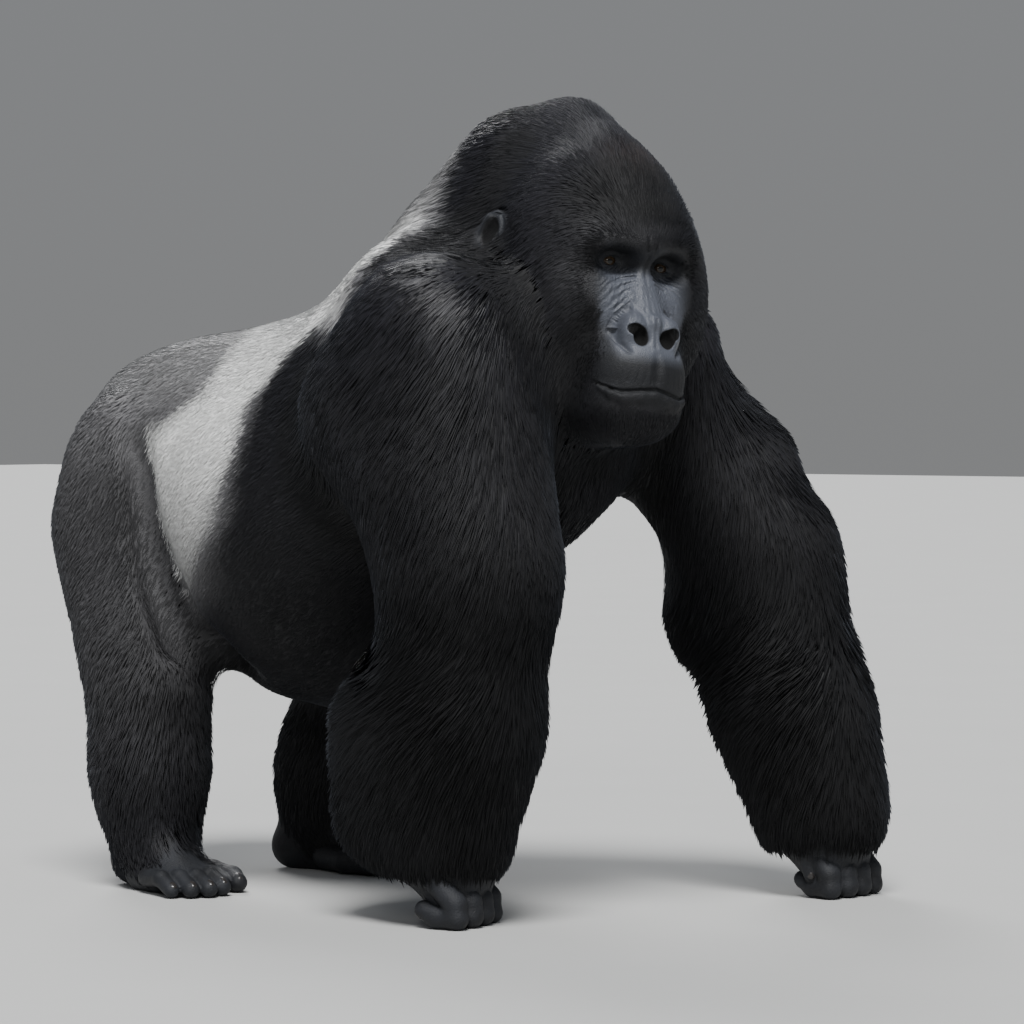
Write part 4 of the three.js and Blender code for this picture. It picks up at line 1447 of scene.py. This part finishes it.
def tint_tufts(outer, length, on_head, on_arm, folded, random):
    """How silver, brown, matt and light each tuft is; its lightness, given at its four points, carries
    painted shade at the root, low on the body, down the arms and in folds, and painted light at the
    tip.
    """
    count = len(outer)
    marks = silver(outer + 0.004 * random.normal(size=(count, 3))) * (1 - on_arm)
    even = smoothstep(0.1, 0.6, marks)[:, None]
    tint = brown(outer) * random.random(count)
    long = longness(length)
    dark_crown = gloom(outer) * on_head
    low_shade = painted_low_shade(outer)
    # painted shade: the arms darken below the shoulders
    arm = smoothstep(0.90, 0.74, outer[:, 2]) * on_arm
    shade = np.repeat(0.35 + random.random(count), 4).reshape(-1, 4)
    # painted light at each tuft's tip and painted shade at its root
    shade[:, 3] += 0.45
    shade[:, 0] *= 0.45
    shade = shade * long + (0.82 + 0.3 * random.random((count, 1))) * (1 - long)
    # painted shade low on the body, down the arms and in the folds; darker on the front of the crown
    # and round the face
    shade *= ((1 - 0.62 * low_shade) * (1 - 0.45 * arm))[:, None]
    shade *= ((1 - 0.65 * folded) * (1 - 0.72 * dark_crown))[:, None]
    shade = shade * (1 - even) + (0.94 + 0.12 * random.random((count, 1))) * even
    low = 0.55 * smoothstep(0.86, 0.62, outer[:, 2]) * (1 - even[:, 0])
    crown = 0.4 * on_head + 0.6 * dark_crown
    matt = np.maximum.reduce([low_shade, crown, low, 0.95 * arm, folded])
    matt = matt * (0.5 + 0.5 * random.random(count))
    return marks, tint, matt, shade


def grow(surface, name, nodes, count, seed, axis, region=None):
    """Tufts over some nodes: each is a thin closed lock with a point at its root and its tip."""
    random = np.random.default_rng(seed)
    corner, blend = scatter(surface, nodes, count, random, region)

    def at(values):
        return np.einsum("nk,nk...->n...", blend, values[corner])

    outer = at(surface.points)
    on_head = (at(surface.head) > 0.5).astype(float)
    points, shown, length, kept = lay_tufts(surface, at, seed, random)
    if "forearm" in name:
        points = raise_tips(points, HEM + HEM_UNEVEN * random.normal(size=(len(points), 1)))
    points = np.clip(points, np.array(CAD_LOW) + MM, np.array(CAD_HIGH) - MM)
    on_arm = float("arm" in name)
    marks, tint, matt, shade = tint_tufts(outer, length, on_head, on_arm, at(surface.folded), random)
    places = unwrap(outer, *axis)
    points, shown, places, marks, tint, matt, shade = (
        v[kept] for v in (points, shown, places, marks, tint, matt, shade)
    )
    faces = (np.arange(len(points)) * 4)[:, None, None] + TUFT_FACES
    mesh = mesh_from(name, points.reshape(-1, 3), faces.reshape(-1, 3))
    put_values(mesh, "silver", np.repeat(marks, 4))
    put_values(mesh, "brown", np.repeat(tint, 4))
    put_values(mesh, "matt", np.repeat(matt, 4))
    put_values(mesh, "shade", shade.ravel())
    put_patches(mesh, places)
    mesh.normals_split_custom_set_from_vertices(shown.reshape(-1, 3).tolist())
    piece = bpy.data.objects.new(name, mesh)
    bpy.context.collection.objects.link(piece)
    return piece


def raise_tips(points, hem):
    """Shortens tufts that reach below the hem."""
    root, tip = points[:, :1], points[:, 3:]
    drop = np.maximum(root[..., 2:] - tip[..., 2:], 1e-6)
    part = np.clip((root[..., 2:] - hem[:, None]) / drop, 0.12, 1)
    return root + (points - root) * part


def follow(surface, points, normals, flow, distance):
    """Walks from each point along the coat's lie, staying on the surface."""
    goal = points + flow * distance[:, None]
    find = surface.tree.find_nearest
    found = [find(p) for p in goal.tolist()]
    place = np.array([f[0] for f in found])
    face = np.array([f[2] for f in found])
    corner = surface.triangles[face]
    normal = unit(surface.normals[corner].mean(axis=1))
    astray = (np.sum(normal * normals, axis=1) < -0.1)[:, None]
    place = np.where(astray, goal, place)
    normal = np.where(astray, normals, normal)
    way = surface.flow[corner].mean(axis=1)
    way = way - normal * np.sum(way * normal, axis=1, keepdims=True)
    way = unit(unit(way) + 1.2 * flow)
    return place, normal, way


def unwrap(points, start, end):
    """Places round and along an axis, from 0 to 1, of points on the skin unrolled from it."""
    start, end = np.array(start, float), np.array(end, float)
    along = unit(end - start)
    side = unit(np.cross(along, [0.3, 0.5, 0.8]))
    front = np.cross(along, side)
    off = points - start
    height = off @ along
    angle = np.arctan2(off @ front, off @ side)
    low, high = height.min(), height.max()
    places = np.stack([angle / (2 * math.pi) + 0.5, (height - low) / (high - low)], axis=1)
    return 0.01 + 0.98 * places


def put_patches(mesh, places):
    """Gives each tuft a small patch of the UV map, at its root's place."""
    spots = places[:, None, :] + TUFT_PATCH[TUFT_FACES.ravel()]
    layer = mesh.uv_layers.new(name="OFBake")
    layer.data.foreach_set("uv", np.clip(spots, 0, 1).astype(np.float32).ravel())


# ---- Settings ------------------------------------------------------------------------------------


def colour_property(name, description, default):
    return bpy.props.FloatVectorProperty(
        name=name, description=description, default=default, size=3, min=0, max=1, subtype="COLOR"
    )


class GorillaLooks(bpy.types.PropertyGroup):
    black: colour_property("Black", "Colour of the black coat", (0.0086, 0.0085, 0.0108))
    grey: colour_property("Grey", "Colour of the rump and thighs", (0.13, 0.128, 0.132))
    silver: colour_property("Silver", "Colour of the saddle", (0.86, 0.86, 0.84))
    brown: colour_property("Brown", "Tint of the front of the crown", (0.032, 0.019, 0.013))
    skin: colour_property("Skin", "Colour of the bare face, hands and feet", (0.0212, 0.023, 0.0280))
    iris: colour_property("Iris", "Colour of the iris", (0.036, 0.023, 0.013))
    nail: colour_property("Nail", "Palest colour of the nails", (0.035, 0.031, 0.029))
    floor: colour_property("Floor", "Colour of the floor", (0.42, 0.42, 0.41))
    tufts: bpy.props.IntProperty(
        name="Tufts",
        description="How many tufts make the whole coat",
        default=368000,
        min=1000,
        max=372000,
    )


class GorillaStage(bpy.types.PropertyGroup):
    azimuth: bpy.props.FloatProperty(
        name="Azimuth", description="Camera's direction", default=math.radians(-52), unit="ROTATION"
    )
    elevation: bpy.props.FloatProperty(
        name="Elevation", description="Camera's height", default=math.radians(1.5), unit="ROTATION"
    )
    distance: bpy.props.FloatProperty(
        name="Distance", description="Camera's distance from the animal", default=6.2, unit="LENGTH"
    )
    lens: bpy.props.FloatProperty(
        name="Lens", description="Focal length in millimetres", default=150.4, unit="CAMERA"
    )
    light: bpy.props.FloatProperty(name="Light", description="Strength of lights", default=1.0, min=0)


# ---- Operators -----------------------------------------------------------------------------------

STATE = {}


def body_surface():
    """The coat's surface, made once."""
    if "surface" not in STATE:
        surface = Surface()
        surface.tree = tree_of(surface.points, surface.triangles)
        STATE["surface"] = surface
    return STATE["surface"]


class GORILLA_OT_skin(bpy.types.Operator):
    """Make the skin from the flesh nodes of the frame"""

    bl_idname = "gorilla.skin"
    bl_label = "Skin"

    def execute(self, context):
        looks = context.scene.gorilla_looks
        surface = body_surface()
        skin = make_skin(surface)
        skin.name = "skin"
        mesh = skin.data
        points, _, _ = mesh_arrays(mesh)
        put_values(mesh, "silver", silver(points))
        q = to_head(points)
        head = surface.look_up(surface.head, points)
        # tone and hollow carry the face's painted highlight and painted shade
        put_values(mesh, "tone", face_tone(q) * head)
        put_values(mesh, "hollow", hollows(q) * (head > 0.5))
        put_values(mesh, "fan", fan_angle(q))
        put_values(mesh, "wrinkle", wrinkling(q) * head)
        mesh.polygons.foreach_set("use_smooth", np.ones(len(mesh.polygons), bool))
        on_ear = smoothstep(1.3, 1.05, ear_reach(q))
        put_values(mesh, "bare", np.maximum(head * np.maximum(bareness(q), on_ear), bare_ends(points)))
        mesh.materials.clear()
        mesh.materials.append(material("skin", skin_material, looks))
        finish_piece(skin, "bare_skin", FLESH)
        return {"FINISHED"}


EYEBALL = 15.0  # radius in millimetres
CORNEA = 0.9  # how far it stands out


class GORILLA_OT_eyes(bpy.types.Operator):
    """Make both eyeballs with their corneas"""

    bl_idname = "gorilla.eyes"
    bl_label = "Eyes"

    def execute(self, context):
        looks = context.scene.gorilla_looks
        radius = EYEBALL * MM
        for side in SIDES:
            bpy.ops.object.select_all(action="DESELECT")
            bpy.ops.mesh.primitive_uv_sphere_add(segments=48, ring_count=32, radius=radius)
            eye = bpy.context.object
            eye.name = f"eyeball_{side}"
            mesh = eye.data
            mesh.name = eye.name
            points, _, _ = mesh_arrays(mesh)
            out = np.linalg.norm(points[:, :2], axis=1) / radius
            out = np.where(points[:, 2] > 0, out, 1.0)
            points[:, 2] += CORNEA * MM * smoothstep(0.50, 0.30, out) * (points[:, 2] > 0)
            gaze = -HEAD_Y + 0.10 * np.array([0, 0, -1.0]) - 0.12 * HEAD_X
            turn = np.array(Vector(gaze).to_track_quat("Z", "Y").to_matrix())
            points = points @ turn.T + EYE_CENTRE[side]
            mesh.vertices.foreach_set("co", points.astype(np.float32).ravel())
            put_values(mesh, "out", out)
            mesh.update()
            mesh.polygons.foreach_set("use_smooth", np.ones(len(mesh.polygons), bool))
            mesh.materials.append(material("eye", eye_material, looks))
            finish_piece(eye, "eye", [f"eye_{side}"])
        return {"FINISHED"}


FACE_COAT = 85  # how far from the hairline the coat of the face ends and that of the crown starts


def near_face(q):
    return hairline(q) < FACE_COAT


def away_from_face(q):
    return hairline(q) >= FACE_COAT


HEAD_NODES = ["head", "ear_right", "ear_left"]
# Each piece of coat: its name, the nodes it covers, its share of all tufts and any region it keeps to.
COAT_PIECES = {
    "head": [
        ("coat_face", HEAD_NODES, 0.105, near_face),
        ("coat_crown", HEAD_NODES, 0.100, away_from_face),
        ("coat_neck", ["neck"], 0.055, None),
    ],
    "trunk": [
        ("coat_chest", ["chest"], 0.085, None),
        ("coat_belly", ["belly"], 0.120, None),
        ("coat_pelvis", ["pelvis"], 0.070, None),
    ],
    "arms": [
        ("coat_upper_arm_right", ["upper_arm_right"], 0.110, None),
        ("coat_forearm_right", ["forearm_right", "hand_right"], 0.100, None),
        ("coat_upper_arm_left", ["upper_arm_left"], 0.075, None),
        ("coat_forearm_left", ["forearm_left", "hand_left"], 0.070, None),
    ],
    "legs": [
        ("coat_leg_right", ["thigh_right", "shin_right", "foot_right"], 0.060, None),
        ("coat_leg_left", ["thigh_left", "shin_left", "foot_left"], 0.050, None),
    ],
}


def nails_of(limb, side):
    """For each digit: the nail's middle, the way it faces, the way it grows, and its width."""
    spots = []
    if limb == "hand":
        place = hand_place(side)
        for bones, _ in finger_bones():
            x, y, z = bones[4]
            spots.append(((x, y - 9, z - 8), (0, -0.75, -0.66), (0, -0.66, 0.75), 15))
        x, y, z = thumb_bones(side)[0][-1]
        inner = -SIGN[side]
        spots.append(((x + inner * 6, y + 7, z), (inner * 0.6, 0.8, 0.1), (0, 0.1, -1), 14))
    else:
        place = foot_place(side)
        for bones, radii in toe_bones():
            (x, y, z), r = bones[2], radii[2]
            spots.append(((x, y + 0.45 * r, z + 0.72 * r), (0, 0.55, 0.83), (0, 0.83, -0.55), 14))
        x, y, z = BIG_TOE[0][-1]
        spots.append(((x, y + 5, z + 10.5), (0, 0.5, 0.87), (0.2, 0.87, -0.5), 17))
    return place, spots


class GORILLA_OT_nails(bpy.types.Operator):
    """Make the nails of the hands and feet"""

    bl_idname = "gorilla.nails"
    bl_label = "Nails"

    def execute(self, context):
        looks = context.scene.gorilla_looks
        for limb in ("hand", "foot"):
            for side in SIDES:
                self.make(limb, side, looks)
        return {"FINISHED"}

    def make(self, limb, side, looks):
        place, spots = nails_of(limb, side)
        made = []
        for middle_point, facing, growing, width in spots:
            bpy.ops.object.select_all(action="DESELECT")
            bpy.ops.mesh.primitive_uv_sphere_add(segments=20, ring_count=12, radius=1)
            nail = bpy.context.object
            points, _, _ = mesh_arrays(nail.data)
            up = unit(np.array(facing, float))
            along = unit(np.array(growing, float) - up * np.dot(growing, up))
            across = np.cross(along, up)
            bow = -0.35 * width / 2 * points[:, :1] ** 2 * up
            wide = points[:, :1] * across * width / 2
            shape = wide + points[:, 1:2] * along * width * 0.5 + points[:, 2:] * up * 2.2
            points = place.outside(np.array(middle_point) + shape + bow)
            nail.data.vertices.foreach_set("co", points.astype(np.float32).ravel())
            made.append(nail)
        for nail in made:
            nail.select_set(True)
        bpy.ops.object.join()
        nails = bpy.context.object
        nails.name = f"nails_{limb}_{side}"
        mesh = nails.data
        mesh.name = nails.name
        mesh.polygons.foreach_set("use_smooth", np.ones(len(mesh.polygons), bool))
        mesh.materials.append(material("nail", nail_material, looks))
        finish_piece(nails, "nail")


def coat_axis(nodes):
    """The line that a piece of coat is unrolled from."""
    first = nodes[0]
    side = "left" if first.endswith("left") else "right"
    part = kind(first)
    if part == "head":
        return from_head((0, 110, -300)), from_head((0, 110, 200))
    if part == "upper_arm":
        return ELBOW[side], SHOULDER[side]
    if part == "forearm":
        return WRIST[side], ELBOW[side]
    if part == "thigh":
        return ANKLE[side], ANKLE[side] + np.array([0, 0, 0.6])
    low, high = (np.array(v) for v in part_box(first))
    centre = (low + high) / 2
    return np.array([centre[0], low[1], centre[2]]), np.array([centre[0], high[1], centre[2]])


def make_coat(part, looks):
    """Grows all pieces of one part of the coat."""
    surface = body_surface()
    for name, nodes, share, region in COAT_PIECES[part]:
        count = int(looks.tufts * share)
        seed = sum(ord(c) for c in name)
        piece = grow(surface, name, nodes, count, seed, coat_axis(nodes), region)
        piece.data.materials.append(material("coat", coat_material, looks))
        finish_piece(piece, "silver_coat" if "belly" in name else "black_coat")


class GORILLA_OT_coat_head(bpy.types.Operator):
    """Grow the coat of the head and neck"""

    bl_idname = "gorilla.coat_head"
    bl_label = "Coat of the head"

    def execute(self, context):
        make_coat("head", context.scene.gorilla_looks)
        return {"FINISHED"}


class GORILLA_OT_coat_trunk(bpy.types.Operator):
    """Grow the coat of the chest, belly and pelvis"""

    bl_idname = "gorilla.coat_trunk"
    bl_label = "Coat of the trunk"

    def execute(self, context):
        make_coat("trunk", context.scene.gorilla_looks)
        return {"FINISHED"}


class GORILLA_OT_coat_arms(bpy.types.Operator):
    """Grow the coat of the arms"""

    bl_idname = "gorilla.coat_arms"
    bl_label = "Coat of the arms"

    def execute(self, context):
        make_coat("arms", context.scene.gorilla_looks)
        return {"FINISHED"}


class GORILLA_OT_coat_legs(bpy.types.Operator):
    """Grow the coat of the legs"""

    bl_idname = "gorilla.coat_legs"
    bl_label = "Coat of the legs"

    def execute(self, context):
        make_coat("legs", context.scene.gorilla_looks)
        return {"FINISHED"}


def aim(thing, target):
    """Turns a camera or a light towards a point."""
    way = Vector(target) - thing.location
    thing.rotation_euler = way.to_track_quat("-Z", "Y").to_euler()


LOOK_AT = (-0.031, -0.183, 0.566)
FLOOR_SIZE = 60
# Each light's name, its place from the middle of the floor, its spread in degrees, and its strength.
LIGHTS = (
    ("top", (-1.4, -1.0, 3.6), 22, 5.2),
    ("key", (-3.6, -2.6, 2.4), 12, 0.55),
    ("rim", (2.4, 3.2, 3.6), 22, 1.6),
)
HORIZON = (0.62, 0.63, 0.64, 1)
SKY = (0.74, 0.82, 0.95, 1)


class GORILLA_OT_stage(bpy.types.Operator):
    """Set the floor, the lights and the camera"""

    bl_idname = "gorilla.stage"
    bl_label = "Stage"

    def execute(self, context):
        settings = context.scene.gorilla_stage
        looks = context.scene.gorilla_looks
        centre = (CAD_LOW + CAD_HIGH) / 2
        bpy.ops.object.select_all(action="DESELECT")
        bpy.ops.mesh.primitive_plane_add(size=FLOOR_SIZE, location=(0, 0, 0))
        floor = bpy.context.object
        floor.name = "floor"
        floor.data.materials.append(material("floor", floor_material, looks))

        target = Vector(LOOK_AT)
        a, e = settings.azimuth, settings.elevation
        back = Vector((math.sin(a) * math.cos(e), -math.cos(a) * math.cos(e), math.sin(e)))
        bpy.ops.object.camera_add(location=target + back * settings.distance)
        camera = bpy.context.object
        camera.data.lens = settings.lens
        camera.data.clip_end = 100
        aim(camera, target)
        context.scene.camera = camera

        for name, place, spread, power in LIGHTS:
            above = Vector(place) + Vector((centre.x, centre.y, 0))
            bpy.ops.object.light_add(type="SUN", location=above)
            lamp = bpy.context.object
            lamp.name = name
            lamp.data.angle = math.radians(spread)
            lamp.data.energy = power * settings.light
            aim(lamp, centre)
        world = bpy.data.worlds.new("studio")
        world.use_nodes = True
        tree = world.node_tree
        background = tree.nodes["Background"]
        place = tree.nodes.new("ShaderNodeTexCoord")
        split = tree.nodes.new("ShaderNodeSeparateXYZ")
        ramp = tree.nodes.new("ShaderNodeValToRGB")
        ramp.color_ramp.elements[0].color = HORIZON
        ramp.color_ramp.elements[1].color = SKY
        tree.links.new(place.outputs["Generated"], split.inputs[0])
        tree.links.new(split.outputs["Z"], ramp.inputs["Fac"])
        tree.links.new(ramp.outputs["Color"], background.inputs["Color"])
        background.inputs["Strength"].default_value = 0.36
        context.scene.world = world
        return {"FINISHED"}


class GORILLA_PT_parts(bpy.types.Panel):
    """Lists the pieces of the gorilla"""

    bl_idname = "GORILLA_PT_parts"
    bl_label = "Gorilla"
    bl_space_type = "VIEW_3D"
    bl_region_type = "UI"
    bl_category = "Gorilla"

    def draw(self, context):
        for step in STEPS:
            self.layout.operator(step.bl_idname)
        for settings in (context.scene.gorilla_looks, context.scene.gorilla_stage):
            for key in settings.__annotations__:
                self.layout.prop(settings, key)


STEPS = (
    GORILLA_OT_skin,
    GORILLA_OT_eyes,
    GORILLA_OT_nails,
    GORILLA_OT_coat_head,
    GORILLA_OT_coat_trunk,
    GORILLA_OT_coat_arms,
    GORILLA_OT_coat_legs,
    GORILLA_OT_stage,
)
CLASSES = (GorillaLooks, GorillaStage, *STEPS, GORILLA_PT_parts)


def register():
    for cls in CLASSES:
        bpy.utils.register_class(cls)
    bpy.types.Scene.gorilla_looks = bpy.props.PointerProperty(type=GorillaLooks)
    bpy.types.Scene.gorilla_stage = bpy.props.PointerProperty(type=GorillaStage)


def unregister():
    del bpy.types.Scene.gorilla_stage
    del bpy.types.Scene.gorilla_looks
    for cls in reversed(CLASSES):
        bpy.utils.unregister_class(cls)


def main():
    register()
    bpy.ops.gorilla.skin()
    bpy.ops.gorilla.eyes()
    bpy.ops.gorilla.nails()
    bpy.ops.gorilla.coat_head()
    bpy.ops.gorilla.coat_trunk()
    bpy.ops.gorilla.coat_arms()
    bpy.ops.gorilla.coat_legs()
    bpy.ops.gorilla.stage()


if __name__ == "__main__":
    main()
